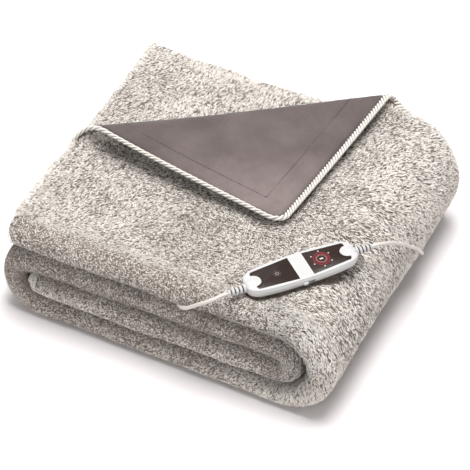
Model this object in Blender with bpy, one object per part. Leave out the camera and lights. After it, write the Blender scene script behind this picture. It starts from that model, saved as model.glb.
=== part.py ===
"""Electric heated blanket, folded, with its handset, cords and plug. Metres, +Z up."""

import math

import bmesh
import bpy
from mathutils import Vector
from mathutils.geometry import delaunay_2d_cdt

# The folded stack. x runs from its left end, y from its front and z from the floor.
LAYER = 0.013  # from one layer of the cloth to the next
HALF_SHEET = 0.0059  # half the thickness of plush and lining together
LINING = 0.0014
CLEAR = 0.0003
BAND = 3 * LAYER  # the cloth folded in three
FLOOR_DROP = HALF_SHEET - LAYER / 2  # brings the lowest layer down to the floor
HEIGHT = 4 * BAND
WIDTH = 0.4766
RIGHT_BEND_X = WIDTH - 2 * BAND
LEFT_BEND_X = 1.5 * BAND
TOP_END_X = 0.016  # left end of the top band
TONGUE_END_X = 0.046  # left end of the innermost band
FRONT_BEND_Y = 1.5 * LAYER
BACK_BEND_Y = 0.3996
OVERHANG = 0.020  # the top layer's reach over the back of each band
HIDDEN_EDGE_Y = FRONT_BEND_Y + 0.008  # free edge inside each band
CORNER_RADIUS = 0.015

# The broad swells of the stack, highest under the handset.
SWELL_X = 0.0025
SWELL_X_LENGTH = 0.50
SWELL_Y = 0.0015
SWELL_Y_LENGTH = 0.42
SWELL_Y_CREST = 0.067

# The corner of the top layer, turned back over a slanting fold.
FOLD_START_Y = 0.1217  # where the fold leaves the left edge
FOLD_ANGLE = math.radians(38.0)
FLAP_STRETCH = 1.047
FLAP_SKEW = 0.356
RISE_RADIUS = 0.051
RISE_ANGLE = math.radians(20.0)
ROLL_RADIUS_LEFT = 0.0211
ROLL_RADIUS_BACK = 0.0090
DESCENT_ANGLE = math.radians(6.8)
LEVEL_RADIUS = 0.050
FLAP_REST = 0.0131  # the turned corner above the layer it lies on
DROOP_SPAN = 0.050  # beside the fold, where the back edge sinks back over the stack

# The rope sewn round the edge.
ROPE_RADIUS = 0.0028
ROPE_LEVEL = -0.003
ROPE_SIDES = 5

# Steps of the mesh.
STRAIGHT_STEPS = 5
OUTER_BEND_STEPS = 10
LEFT_BEND_STEPS = 8
INNER_BEND_STEPS = 6
ROW_STEPS = 4
FRONT_BEND_STEPS = 6
BACK_BEND_STEPS = 5
OVERHANG_STEPS = 2
RISE_STEPS = 2
ROLL_STEPS = 7
CORNER_STEPS = 3

# The handset, along its own x, with z up from its underside.
HANDSET_X = 0.3922
HANDSET_Y = 0.0872
HANDSET_TURN = math.radians(51.5)
HANDSET_TILT = math.radians(1.0)
HANDSET_END = 0.076
HANDSET_TOP = 0.0145
# Half of its length: distance from the middle, half width, underside, top.
HOUSING_STATIONS = (
    (0.000, 0.0246, 0.0000, 0.0145),
    (0.030, 0.0238, 0.0000, 0.0145),
    (0.048, 0.0222, 0.0000, 0.0145),
    (0.064, 0.0196, 0.0003, 0.0145),
    (0.071, 0.0152, 0.0010, 0.0141),
    (0.0745, 0.0110, 0.0022, 0.0131),
    (0.076, 0.0078, 0.0034, 0.0117),
)
# Right half of its section: share of the half width, share of the height.
HOUSING_SECTION = (
    (0.72, 0.00),
    (0.93, 0.28),
    (1.00, 0.56),
    (0.965, 0.82),
    (0.90, 0.96),
    (0.835, 1.00),
)
PANEL_INNER = 0.0100
PANEL_OUTER = 0.0650
PANEL_INNER_HALF = 0.0194
PANEL_OUTER_HALF = 0.0150
PANEL_THICKNESS = 0.0015
PANEL_PROUD = 0.0001
NOTCH_DEPTH = 0.0100
NOTCH_HALF = 0.0094
NOTCH_STEPS = 8
PANEL_CORNER_LENGTH = 0.0023
PANEL_CORNER_WIDTH = 0.0045

# The slide switch in the housing's front wall, at rest at the left end of its slot.
SLIDER_X = -0.0040
SLIDER_LENGTH = 0.0070
SLIDER_TRAVEL = 0.0100
SLIDER_HEIGHT = 0.0042
SLIDER_LEVEL = 0.0076
SLIDER_FRONT_Y = -0.0262
SLOT_FLOOR_Y = -0.0205

# The strain reliefs: distance from the housing's end, radius.
RELIEF_PROFILE = (
    (0.0000, 0.0062),
    (0.0040, 0.0062),
    (0.0046, 0.0050),
    (0.0058, 0.0050),
    (0.0064, 0.0059),
    (0.0098, 0.0056),
    (0.0104, 0.0045),
    (0.0116, 0.0045),
    (0.0122, 0.0052),
    (0.0156, 0.0049),
    (0.0162, 0.0040),
    (0.0174, 0.0040),
    (0.0180, 0.0045),
    (0.0240, 0.0039),
)
RELIEF_SIDES = 14
RELIEF_LENGTH = RELIEF_PROFILE[-1][0]
RELIEF_LEVEL = 0.0073

# The cords' routes, from the strain reliefs outward.
CORD_RADIUS = 0.0025
CORD_STEP = 0.010
STRAIGHT_RUN = 0.009  # straight out of each strain relief
CORD_CLEAR = 0.0004
LEAD_ROUTE = (
    (0.3172, -0.0064, 0.1644),
    (0.3072, -0.0108, 0.1588),
    (0.2960, -0.0114, 0.1494),
    (0.2860, -0.0100, 0.1396),
    (0.2772, -0.0066, 0.1306),
    (0.2700, -0.0014, 0.1238),
    (0.2625, 0.0052, 0.1184),
)
MAINS_ROUTE = (
    (0.4664, 0.1820, 0.1606),
    (0.4695, 0.1945, 0.1523),
    (0.4715, 0.2130, 0.1347),
    (0.4740, 0.2280, 0.1200),
    (0.4758, 0.2415, 0.1050),
    (0.4779, 0.2545, 0.0914),
    (0.4792, 0.2650, 0.0774),
    (0.4782, 0.2760, 0.0640),
    (0.4728, 0.2915, 0.0450),
    (0.4628, 0.3075, 0.0272),
    (0.4515, 0.3250, 0.0135),
    (0.4425, 0.3450, 0.0050),
    (0.4388, 0.3680, 0.0028),
    (0.4386, 0.3920, 0.0028),
    (0.4375, 0.4150, 0.0028),
    (0.4330, 0.4380, 0.0028),
)

# The spare length of the mains cord, in a coil behind the stack.
COIL_X = 0.395
COIL_Y = 0.484
COIL_INNER = 0.0200
COIL_OUTER = 0.0350
COIL_HEIGHT = 0.0180
COIL_STEPS = 32
COIL_BEVEL = 0.0022
TIE_WIDTH = 0.012
TIE_THICKNESS = 0.001
TIE_TURN = math.radians(200.0)
COIL_FLOOR = TIE_THICKNESS + CLEAR
ENTRY_LENGTH = 0.0178  # from the point where the cord's line touches the outer turn
TAIL_START = 0.0188  # from the point where it leaves the coil's top turn
TAIL_LEVEL = 0.0090
TAIL_ROUTE = (
    (0.3650, 0.5163, 0.0052),
    (0.3530, 0.5128, 0.0058),
)

# The plug lies flat behind the stack, its pins pointing left.
PLUG_X = 0.3310
PLUG_Y = 0.5020
PLUG_TURN = math.radians(207.0)
PLUG_LEVEL = 0.00685
PLUG_SLEEVE_PROFILE = (
    (0.0000, 0.0034),
    (0.0050, 0.0038),
    (0.0056, 0.0033),
    (0.0066, 0.0033),
    (0.0072, 0.0043),
    (0.0122, 0.0047),
    (0.0128, 0.0040),
    (0.0138, 0.0040),
    (0.0144, 0.0052),
    (0.0200, 0.0056),
)
# The plug's body: distance from the sleeve, half width, half height.
PLUG_STATIONS = (
    (0.0000, 0.0068, 0.0058),
    (0.0030, 0.0086, 0.0066),
    (0.0140, 0.0112, 0.00685),
    (0.0240, 0.0130, 0.00685),
    (0.0340, 0.0130, 0.00685),
    (0.0350, 0.0124, 0.0062),
)
PIN_RADIUS = 0.0020
PIN_LENGTH = 0.0190
PIN_SPACING = 0.0190
PIN_SIDES = 10

# The world's origin, under the middle of the object without its cords.
FRONT_Y = FRONT_BEND_Y - LAYER - HALF_SHEET
BACK_Y = BACK_BEND_Y + OVERHANG + 0.0123  # the rolled edge's reach
ORIGIN_X = WIDTH / 2
ORIGIN_Y = (FRONT_Y + BACK_Y) / 2

# Colour, roughness and metallic value of each material.
MATERIALS = {
    "plush": ((0.58, 0.52, 0.46), 0.95, 0.0),
    "lining": ((0.31, 0.25, 0.23), 0.80, 0.0),
    "rope": ((0.80, 0.76, 0.70), 0.85, 0.0),
    "white_plastic": ((0.88, 0.85, 0.83), 0.35, 0.0),
    "dark_panel": ((0.05, 0.04, 0.04), 0.15, 0.0),
    "cord_rubber": ((0.78, 0.74, 0.71), 0.45, 0.0),
    "tie_strap": ((0.10, 0.10, 0.10), 0.60, 0.0),
    "pin_metal": ((0.75, 0.75, 0.74), 0.25, 1.0),
}


class Track:
    """Straight and round stretches laid end to end in a plane, running on straight past both ends.

    Each stretch is a length and the angle that it turns left.
    """

    def __init__(self, start, heading, stretches):
        self.start = start
        self.heading = heading
        self.stretches = stretches
        self.length = sum(length for length, _ in stretches)

    def at(self, distance):
        """The two coordinates and the heading at this distance from the start."""
        first, second = self.start
        heading = self.heading
        left = distance
        for length, turn in self.stretches:
            step = min(left, length)
            if step <= 0:
                break
            if turn:
                radius = length / turn
                new_heading = heading + turn * step / length
                first += radius * (math.sin(new_heading) - math.sin(heading))
                second += radius * (math.cos(heading) - math.cos(new_heading))
                heading = new_heading
            else:
                first += step * math.cos(heading)
                second += step * math.sin(heading)
            left -= step
        return first + left * math.cos(heading), second + left * math.sin(heading), heading


# Along the cloth: over the top, round the right, under, up the left and in between.
SPIRAL_STRETCHES = (
    (RIGHT_BEND_X - TOP_END_X, 0.0),
    (1.5 * BAND * math.pi, -math.pi),
    (RIGHT_BEND_X - LEFT_BEND_X, 0.0),
    (BAND * math.pi, -math.pi),
    (RIGHT_BEND_X - LEFT_BEND_X, 0.0),
    (0.5 * BAND * math.pi, -math.pi),
    (RIGHT_BEND_X - TONGUE_END_X, 0.0),
)
SPIRAL = Track((TOP_END_X, 3.5 * BAND + FLOOR_DROP), 0.0, SPIRAL_STRETCHES)

# Across the cloth, from the top layer's edge at the back: forward, round the front, back and in.
WRAP_RADIUS = 1.5 * LAYER
ROW_STRETCHES = (
    (BACK_BEND_Y - FRONT_BEND_Y, 0.0),
    (LAYER * math.pi, math.pi),
    (BACK_BEND_Y - FRONT_BEND_Y, 0.0),
    (0.5 * LAYER * math.pi, math.pi),
    (BACK_BEND_Y - HIDDEN_EDGE_Y, 0.0),
)
ROW = Track((BACK_BEND_Y, LAYER), math.pi, ROW_STRETCHES)
CLOTH_LENGTH = SPIRAL.length
CLOTH_WIDTH = OVERHANG + ROW.length
TOP_EDGE_Y = BACK_BEND_Y + OVERHANG  # the back edge, were it laid flat
FOLD_REACH = (TOP_EDGE_Y - FOLD_START_Y) / math.sin(FOLD_ANGLE)


def swollen(x, y, z):
    """The point, moved by the stack's broad swells, which fade towards the floor."""
    lift = SWELL_X * math.cos(2 * math.pi * (x - RIGHT_BEND_X) / SWELL_X_LENGTH)
    lift += SWELL_Y * math.cos(2 * math.pi * (y - SWELL_Y_CREST) / SWELL_Y_LENGTH)
    return x, y, z + lift * z / HEIGHT


def world(x, y, z):
    return Vector((x - ORIGIN_X, y - ORIGIN_Y, z))


def fold_profile(share):
    """The section across the turned corner's fold, at this share of the way to the back edge."""
    share = min(max(share, 0.0), 1.0)
    roll_radius = ROLL_RADIUS_LEFT + (ROLL_RADIUS_BACK - ROLL_RADIUS_LEFT) * share
    roll_turn = math.pi + DESCENT_ANGLE - RISE_ANGLE
    crest = RISE_RADIUS * (1 - math.cos(RISE_ANGLE))
    crest += roll_radius * (math.cos(RISE_ANGLE) + math.cos(DESCENT_ANGLE))
    levelling = LEVEL_RADIUS * (1 - math.cos(DESCENT_ANGLE))
    descent = (crest - levelling - FLAP_REST) / math.sin(DESCENT_ANGLE)
    stretches = (
        (RISE_RADIUS * RISE_ANGLE, RISE_ANGLE),
        (roll_radius * roll_turn, roll_turn),
        (descent, 0.0),
        (LEVEL_RADIUS * DESCENT_ANGLE, -DESCENT_ANGLE),
    )
    return Track((0.0, 0.0), 0.0, stretches)


def fold_coordinates(x, y):
    """Distance along the corner's fold line and beyond it, for a point of the flat top layer."""
    along = (x - TOP_END_X) * math.cos(FOLD_ANGLE) + (y - FOLD_START_Y) * math.sin(FOLD_ANGLE)
    beyond = (y - FOLD_START_Y) * math.cos(FOLD_ANGLE) - (x - TOP_END_X) * math.sin(FOLD_ANGLE)
    return along, beyond


def turned_corner(along, beyond, w):
    """A point of the corner that is turned back, w above the middle of its cloth."""
    across, rise, heading = fold_profile(along / FOLD_REACH).at(beyond * FLAP_STRETCH)
    across -= w * math.sin(heading)
    rise += w * math.cos(heading)
    along += FLAP_SKEW * beyond
    x = TOP_END_X + along * math.cos(FOLD_ANGLE) - across * math.sin(FOLD_ANGLE)
    y = FOLD_START_Y + along * math.sin(FOLD_ANGLE) + across * math.cos(FOLD_ANGLE)
    return x, y, 3.5 * BAND + FLOOR_DROP + LAYER + rise


def row_point(u, v, w):
    """Depth and height above the band's middle, for a place on the flat cloth."""
    if v >= OVERHANG:
        y, height, heading = ROW.at(v - OVERHANG)
        return y + w * math.sin(heading), height - w * math.cos(heading)
    _, beyond = fold_coordinates(TOP_END_X + u, TOP_EDGE_Y)
    share = min(max(-beyond / DROOP_SPAN, 0.0), 1.0)
    droop = share * share * (3 - 2 * share)
    wrap = Track((BACK_BEND_Y, LAYER), 0.0, ((OVERHANG, -droop * OVERHANG / WRAP_RADIUS),))
    y, height, heading = wrap.at(OVERHANG - v)
    return y - w * math.sin(heading), height + w * math.cos(heading)


def tongue_squeeze(x):
    """How far the innermost band closes up where it enters the left bend."""
    half_band = LAYER + HALF_SHEET
    room = BAND - half_band - CLEAR
    inside = max(LEFT_BEND_X - x, 0.0)
    return min(1.0, math.sqrt(max(room * room - inside * inside, 0.0)) / half_band)


def place(u, v, w):
    """Where a point of the flat cloth lies once it is folded: u along it, v across, w up its pile."""
    flat_x, flat_y = TOP_END_X + u, TOP_EDGE_Y - v
    along, beyond = fold_coordinates(flat_x, flat_y)
    on_top_layer = flat_x < RIGHT_BEND_X and v < TOP_EDGE_Y - FRONT_BEND_Y
    if on_top_layer and beyond > 0:
        return world(*swollen(*turned_corner(along, beyond, w)))
    x, z, course = SPIRAL.at(u)
    y, height = row_point(u, v, w)
    if u > CLOTH_LENGTH - SPIRAL_STRETCHES[-1][0]:
        height *= tongue_squeeze(x)
    return world(*swollen(x - height * math.sin(course), y, z + height * math.cos(course)))


def stations(stretches, steps):
    """Distances at which the cloth is stepped, for stretches laid end to end."""
    marks = [0.0]
    for (length, _), count in zip(stretches, steps):
        marks += [marks[-1] + length * (k + 1) / count for k in range(count)]
    return marks


def outline():
    """The flat cloth's edge, with its round corners."""
    points = []
    corners = (
        (CORNER_RADIUS, CORNER_RADIUS, 180),
        (CLOTH_LENGTH - CORNER_RADIUS, CORNER_RADIUS, 270),
        (CLOTH_LENGTH - CORNER_RADIUS, CLOTH_WIDTH - CORNER_RADIUS, 0),
        (CORNER_RADIUS, CLOTH_WIDTH - CORNER_RADIUS, 90),
    )
    for u, v, start in corners:
        for k in range(CORNER_STEPS + 1):
            angle = math.radians(start + 90 * k / CORNER_STEPS)
            points.append((u + CORNER_RADIUS * math.cos(angle), v + CORNER_RADIUS * math.sin(angle)))
    return points


def fold_lines():
    """Lines across the turned corner, from its left edge to its back edge, one at each step."""
    lines = []
    left, back = fold_profile(0.0), fold_profile(1.0)
    steps = (RISE_STEPS, ROLL_STEPS, 2)
    left_marks = stations(left.stretches[:2] + back.stretches[2:3], steps)
    back_marks = stations(back.stretches[:3], steps)
    back_beyond = (TOP_EDGE_Y - FOLD_START_Y) * math.cos(FOLD_ANGLE)
    for left_mark, back_mark in zip(left_marks, back_marks):
        left_y = FOLD_START_Y + left_mark / FLAP_STRETCH / math.cos(FOLD_ANGLE)
        back_x = (back_beyond - back_mark / FLAP_STRETCH) / math.sin(FOLD_ANGLE)
        lines.append(((0.0, TOP_EDGE_Y - left_y), (back_x, 0.0)))
    return lines


def flat_pattern():
    """The flat cloth in triangles, stepped where it bends: its points, its triangles and its edge."""
    points = [Vector(point) for point in outline()]
    ring = list(range(len(points)))
    edges = []

    def line(start, end):
        edges.append((len(points), len(points) + 1))
        points.extend((Vector(start), Vector(end)))

    straight = (BACK_BEND_Y - FRONT_BEND_Y, 0.0)
    long_steps = (STRAIGHT_STEPS, OUTER_BEND_STEPS, STRAIGHT_STEPS, LEFT_BEND_STEPS)
    long_steps += (STRAIGHT_STEPS, INNER_BEND_STEPS, STRAIGHT_STEPS)
    to_left_bend = LEFT_BEND_X - TOP_END_X
    from_left_bend = ((RIGHT_BEND_X - LEFT_BEND_X, 0.0),) + SPIRAL_STRETCHES[1:-1]
    from_left_bend += ((RIGHT_BEND_X - LEFT_BEND_X, 0.0),)
    for mark in stations(from_left_bend, long_steps):
        line((to_left_bend + mark, 0.0), (to_left_bend + mark, CLOTH_WIDTH))
    row_steps = (OVERHANG_STEPS, ROW_STEPS, FRONT_BEND_STEPS, ROW_STEPS, BACK_BEND_STEPS, ROW_STEPS)
    row_stretches = ((OVERHANG, 0.0),) + ROW_STRETCHES[:-1] + (straight,)
    for mark in stations(row_stretches, row_steps)[1:-1]:
        line((0.0, mark), (CLOTH_LENGTH, mark))
    for start, end in fold_lines():
        line(start, end)
    flat, _, faces, _, _, _ = delaunay_2d_cdt(points, edges, [ring], 1, 1e-6)
    return flat, faces, edge_loop(faces)


def edge_loop(faces):
    """The points along the pattern's edge, in order."""
    after = {}
    for face in faces:
        for start, end in zip(face, face[1:] + face[:1]):
            after[start, end] = True
    outside = {start: end for start, end in after if (end, start) not in after}
    loop = [next(iter(outside))]
    while outside[loop[-1]] != loop[0]:
        loop.append(outside[loop[-1]])
    return loop


def material(name):
    colour, roughness, metallic = MATERIALS[name]
    made = bpy.data.materials.get(name) or bpy.data.materials.new(name)
    made.use_nodes = True
    shader = made.node_tree.nodes["Principled BSDF"]
    shader.inputs["Base Color"].default_value = (*colour, 1.0)
    shader.inputs["Roughness"].default_value = roughness
    shader.inputs["Metallic"].default_value = metallic
    return made


def add_mesh(name, points, faces, material_name, smooth_below=35):
    """A closed body from points and faces, its faces turned outward."""
    mesh = bpy.data.meshes.new(name)
    mesh.from_pydata(points, [], faces)
    body = bmesh.new()
    body.from_mesh(mesh)
    bmesh.ops.recalc_face_normals(body, faces=body.faces)
    body.to_mesh(mesh)
    body.free()
    mesh.shade_smooth()
    mesh.set_sharp_from_angle(angle=math.radians(smooth_below))
    made = bpy.data.objects.new(name, mesh)
    made.data.materials.append(material(material_name))
    bpy.context.collection.objects.link(made)
    return made


def cloth(name, pattern, low, high, material_name):
    """One sheet of the cloth, between two levels of its thickness."""
    flat, faces, loop = pattern
    count = len(flat)
    points = [place(u, v, high) for u, v in flat] + [place(u, v, low) for u, v in flat]
    sides = [tuple(face) for face in faces]
    sides += [tuple(count + k for k in reversed(face)) for face in faces]
    rim = [(b, a, count + a, count + b) for a, b in zip(loop, loop[1:] + loop[:1])]
    return add_mesh(name, points, sides + rim, material_name)


def rope(name, pattern):
    """The rope round the cloth's edge, one ring of points at each step of the edge."""
    flat, _, loop = pattern
    points = []
    offset = ROPE_RADIUS + CLEAR
    for k, here in enumerate(loop):
        before, after = flat[loop[k - 1]], flat[loop[(k + 1) % len(loop)]]
        before_way = (flat[here] - before).normalized()
        after_way = (after - flat[here]).normalized()
        way = (before_way + after_way).normalized()
        outward = Vector((way.y, -way.x)) / max(way.dot(after_way), 0.5)
        for j in range(ROPE_SIDES):
            angle = 2 * math.pi * j / ROPE_SIDES
            spot = flat[here] + outward * (offset + ROPE_RADIUS * math.cos(angle))
            points.append(place(spot.x, spot.y, ROPE_LEVEL + ROPE_RADIUS * math.sin(angle)))
    return add_mesh(name, points, tube_faces(len(loop), ROPE_SIDES, closed=True), "rope", 60)


def tube_faces(rings, sides, closed=False):
    """Faces that join rings of points, with flat ends unless the tube is a closed loop."""
    faces = []
    for k in range(rings if closed else rings - 1):
        for j in range(sides):
            here, turned = k * sides, ((k + 1) % rings) * sides
            faces.append((here + j, here + (j + 1) % sides, turned + (j + 1) % sides, turned + j))
    if not closed:
        faces.append(tuple(reversed(range(sides))))
        faces.append(tuple(range((rings - 1) * sides, rings * sides)))
    return faces


def turned_piece(name, profile, sides, material_name, parent, mirror=1):
    """A round piece along its parent's x, from (distance, radius) pairs."""
    points = []
    for distance, radius in profile:
        for j in range(sides):
            angle = 2 * math.pi * j / sides
            points.append((mirror * distance, radius * math.cos(angle), radius * math.sin(angle)))
    made = add_mesh(name, points, tube_faces(len(profile), sides), material_name, 50)
    made.parent = parent
    return made


def empty(name, location, turn, tilt=0.0, parent=None):
    """A frame turned about z, then tilted so that its right side sinks."""
    made = bpy.data.objects.new(name, None)
    bpy.context.collection.objects.link(made)
    made.rotation_mode = "ZYX"
    made.location = location
    made.rotation_euler = (0.0, tilt, turn)
    made.parent = parent
    return made


def cut(target, cutter):
    """Takes the cutter's shape out of the target."""
    cutter.hide_render = True
    cutter.display_type = "WIRE"
    modifier = target.modifiers.new(cutter.name, "BOOLEAN")
    modifier.operation = "DIFFERENCE"
    modifier.object = cutter


def prism(name, corners, low, high, material_name, parent):
    """An outline in its parent's x and y, raised between two levels."""
    count = len(corners)
    points = [(x, y, low) for x, y in corners] + [(x, y, high) for x, y in corners]
    faces = [tuple(reversed(range(count))), tuple(range(count, 2 * count))]
    for k in range(count):
        after = (k + 1) % count
        faces.append((k, after, count + after, count + k))
    made = add_mesh(name, points, faces, material_name)
    made.parent = parent
    return made


def box(name, low, high, material_name, parent):
    corners = ((low[0], low[1]), (high[0], low[1]), (high[0], high[1]), (low[0], high[1]))
    return prism(name, corners, low[2], high[2], material_name, parent)


def panel_outline(side, grow):
    """A front panel's outline, slanted at its outer corners and notched for the housing's lobe."""
    inner, outer = PANEL_INNER - grow, PANEL_OUTER + grow
    inner_half, outer_half = PANEL_INNER_HALF + grow, PANEL_OUTER_HALF + grow
    slant, tip_half = outer - PANEL_CORNER_LENGTH, outer_half - PANEL_CORNER_WIDTH
    half_notch = NOTCH_HALF - grow
    points = [(inner, -inner_half), (slant, -outer_half), (outer, -tip_half)]
    for k in range(NOTCH_STEPS + 1):
        angle = math.pi * k / NOTCH_STEPS
        depth = (NOTCH_DEPTH - grow) * math.sin(angle)
        points.append((outer - depth, -half_notch * math.cos(angle)))
    points += [(outer, tip_half), (slant, outer_half), (inner, inner_half)]
    return [(side * x, y) for x, y in points]


def housing(parent):
    """The white shell, with recesses for its panels and a slot for its switch."""
    rows = [(-x, *rest) for x, *rest in reversed(HOUSING_STATIONS[1:])] + list(HOUSING_STATIONS)
    points = []
    for x, half, low, high in rows:
        right = [(half * share, low + (high - low) * level) for share, level in HOUSING_SECTION]
        section = right + [(-y, z) for y, z in reversed(right)]
        points += [(x, y, z) for y, z in section]
    sides = 2 * len(HOUSING_SECTION)
    shell = add_mesh("handset_housing", points, tube_faces(len(rows), sides), "white_plastic")
    shell.parent = parent
    recess_floor = HANDSET_TOP + PANEL_PROUD - PANEL_THICKNESS - CLEAR
    for side, word in ((-1, "left"), (1, "right")):
        corners = panel_outline(side, CLEAR)
        recess = prism("recess_" + word, corners, recess_floor, HANDSET_TOP + 0.002, "dark_panel", parent)
        cut(shell, recess)
    low = (SLIDER_X - SLIDER_LENGTH / 2 - CLEAR, SLIDER_FRONT_Y - 0.002, SLIDER_LEVEL - SLIDER_HEIGHT / 2 - CLEAR)
    end = SLIDER_X + SLIDER_LENGTH / 2 + SLIDER_TRAVEL + CLEAR
    high = (end, SLOT_FLOOR_Y, SLIDER_LEVEL + SLIDER_HEIGHT / 2 + CLEAR)
    cut(shell, box("slot", low, high, "dark_panel", parent))


def handset():
    """The handset on its frame, which lies on the highest line of the cloth under it."""
    crest = swollen(RIGHT_BEND_X, FRONT_BEND_Y, HEIGHT - LAYER / 2 + HALF_SHEET + FLOOR_DROP)[2]
    rest = crest + CLEAR + (RIGHT_BEND_X - HANDSET_X) * math.tan(HANDSET_TILT)
    frame = empty("handset", world(HANDSET_X, HANDSET_Y, rest), HANDSET_TURN, HANDSET_TILT)
    housing(frame)
    for side, word in ((-1, "left"), (1, "right")):
        low = HANDSET_TOP + PANEL_PROUD - PANEL_THICKNESS
        corners = panel_outline(side, 0.0)
        prism("handset_panel_" + word, corners, low, HANDSET_TOP + PANEL_PROUD, "dark_panel", frame)
        end = empty("relief_" + word, (side * (HANDSET_END + CLEAR), 0.0, RELIEF_LEVEL), 0.0, parent=frame)
        turned_piece("strain_relief_" + word, RELIEF_PROFILE, RELIEF_SIDES, "white_plastic", end, side)
    knob = empty("slider", (SLIDER_X, 0.0, SLIDER_LEVEL), 0.0, parent=frame)
    low = (-SLIDER_LENGTH / 2, SLIDER_FRONT_Y, -SLIDER_HEIGHT / 2)
    high = (SLIDER_LENGTH / 2, SLOT_FLOOR_Y - CLEAR, SLIDER_HEIGHT / 2)
    box("switch_slider", low, high, "white_plastic", knob)
    bpy.context.view_layer.update()
    return frame


def smooth_route(points, step):
    """Evenly spaced points on one smooth curve through the route's own points."""
    padded = [2 * points[0] - points[1]] + points + [2 * points[-1] - points[-2]]
    fine = []
    for k in range(len(points) - 1):
        before, start, end, after = padded[k : k + 4]
        for j in range(8):
            t = j / 8
            spot = 2 * start + (end - before) * t
            spot += (2 * before - 5 * start + 4 * end - after) * t * t
            spot += (3 * start - before - 3 * end + after) * t * t * t
            fine.append(spot / 2)
    fine.append(points[-1])
    reach = [0.0]
    for start, end in zip(fine, fine[1:]):
        reach.append(reach[-1] + (end - start).length)
    count = max(2, round(reach[-1] / step))
    even, at = [], 0
    for k in range(count + 1):
        goal = reach[-1] * k / count
        while at < len(fine) - 2 and reach[at + 1] < goal:
            at += 1
        share = (goal - reach[at]) / (reach[at + 1] - reach[at])
        even.append(fine[at].lerp(fine[at + 1], share))
    return even


def cord(name, points):
    """A plain round tube along a smooth route."""
    curve = bpy.data.curves.new(name, "CURVE")
    curve.dimensions = "3D"
    curve.bevel_depth = CORD_RADIUS
    curve.bevel_resolution = 2
    curve.use_fill_caps = True
    route = smooth_route(points, CORD_STEP)
    spline = curve.splines.new("POLY")
    spline.points.add(len(route) - 1)
    for spot, point in zip(spline.points, route):
        spot.co = (*point, 1.0)
    curve.materials.append(material("cord_rubber"))
    made = bpy.data.objects.new(name, curve)
    bpy.context.collection.objects.link(made)
    return made


def coil_tangent(angle, distance, level=CORD_RADIUS + CLEAR):
    """A point on the line that leaves the coil's outer turn at this angle, heading anticlockwise."""
    radius = COIL_OUTER - CORD_RADIUS
    x = COIL_X + radius * math.cos(angle) - distance * math.sin(angle)
    y = COIL_Y + radius * math.sin(angle) + distance * math.cos(angle)
    return x, y, level


def coil():
    """The coil as one turned ring, and the strap that ties it."""
    section = []
    for radius, height in ((COIL_INNER, 0), (COIL_OUTER, 0), (COIL_OUTER, COIL_HEIGHT), (COIL_INNER, COIL_HEIGHT)):
        inward = 1 if radius == COIL_INNER else -1
        upward = 1 if height == 0 else -1
        ends = [(radius, height + upward * COIL_BEVEL), (radius + inward * COIL_BEVEL, height)]
        section += ends if inward == upward else reversed(ends)
    points = []
    for k in range(COIL_STEPS):
        angle = 2 * math.pi * k / COIL_STEPS
        for radius, height in section:
            x, y = COIL_X + radius * math.cos(angle), COIL_Y + radius * math.sin(angle)
            points.append(world(x, y, COIL_FLOOR + height))
    add_mesh("mains_coil", points, tube_faces(COIL_STEPS, len(section), closed=True), "cord_rubber")


def tie():
    """The strap round the coil's turns."""
    frame = empty("tie", world(COIL_X, COIL_Y, 0.0), TIE_TURN)
    near_side = math.sqrt(COIL_INNER**2 - (TIE_WIDTH / 2) ** 2) * math.cos(math.pi / COIL_STEPS)
    points = []
    for y in (-TIE_WIDTH / 2, TIE_WIDTH / 2):
        for room in (CLEAR, CLEAR + TIE_THICKNESS):
            near, far = near_side - room, COIL_OUTER + room
            low, high = COIL_FLOOR - room, COIL_FLOOR + COIL_HEIGHT + room
            points += [(near, y, low), (far, y, low), (far, y, high), (near, y, high)]
    faces = []
    for k in range(4):
        after = (k + 1) % 4
        faces.append((k, after, 8 + after, 8 + k))
        faces.append((4 + k, 12 + k, 12 + after, 4 + after))
        faces.append((k, 4 + k, 4 + after, after))
        faces.append((8 + k, 8 + after, 12 + after, 12 + k))
    add_mesh("coil_tie", points, faces, "tie_strap").parent = frame


def plug():
    """A flat plug with its sleeve and two pins."""
    frame = empty("plug", world(PLUG_X, PLUG_Y, PLUG_LEVEL), PLUG_TURN)
    turned_piece("plug_sleeve", PLUG_SLEEVE_PROFILE, 12, "cord_rubber", frame)
    start = PLUG_SLEEVE_PROFILE[-1][0] + CLEAR
    points = []
    for distance, half_width, half_height in PLUG_STATIONS:
        flat = half_width - half_height * 0.7
        section = [(half_width, 0.0), (flat + half_height * 0.4, half_height * 0.8), (flat, half_height)]
        section += [(-y, z) for y, z in reversed(section)]
        section += [(y, -z) for y, z in reversed(section[1:-1])]
        points += [(start + distance, y, z) for y, z in section]
    sides = len(points) // len(PLUG_STATIONS)
    add_mesh("mains_plug", points, tube_faces(len(PLUG_STATIONS), sides), "cord_rubber").parent = frame
    face = start + PLUG_STATIONS[-1][0] + CLEAR
    for side, word in ((-1, "a"), (1, "b")):
        profile = ((0.0, PIN_RADIUS), (PIN_LENGTH - 0.001, PIN_RADIUS), (PIN_LENGTH, PIN_RADIUS * 0.6))
        root = empty("pin_" + word, (face, side * PIN_SPACING / 2, 0.0), 0.0, parent=frame)
        turned_piece("plug_pin_" + word, profile, PIN_SIDES, "pin_metal", root)


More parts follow.
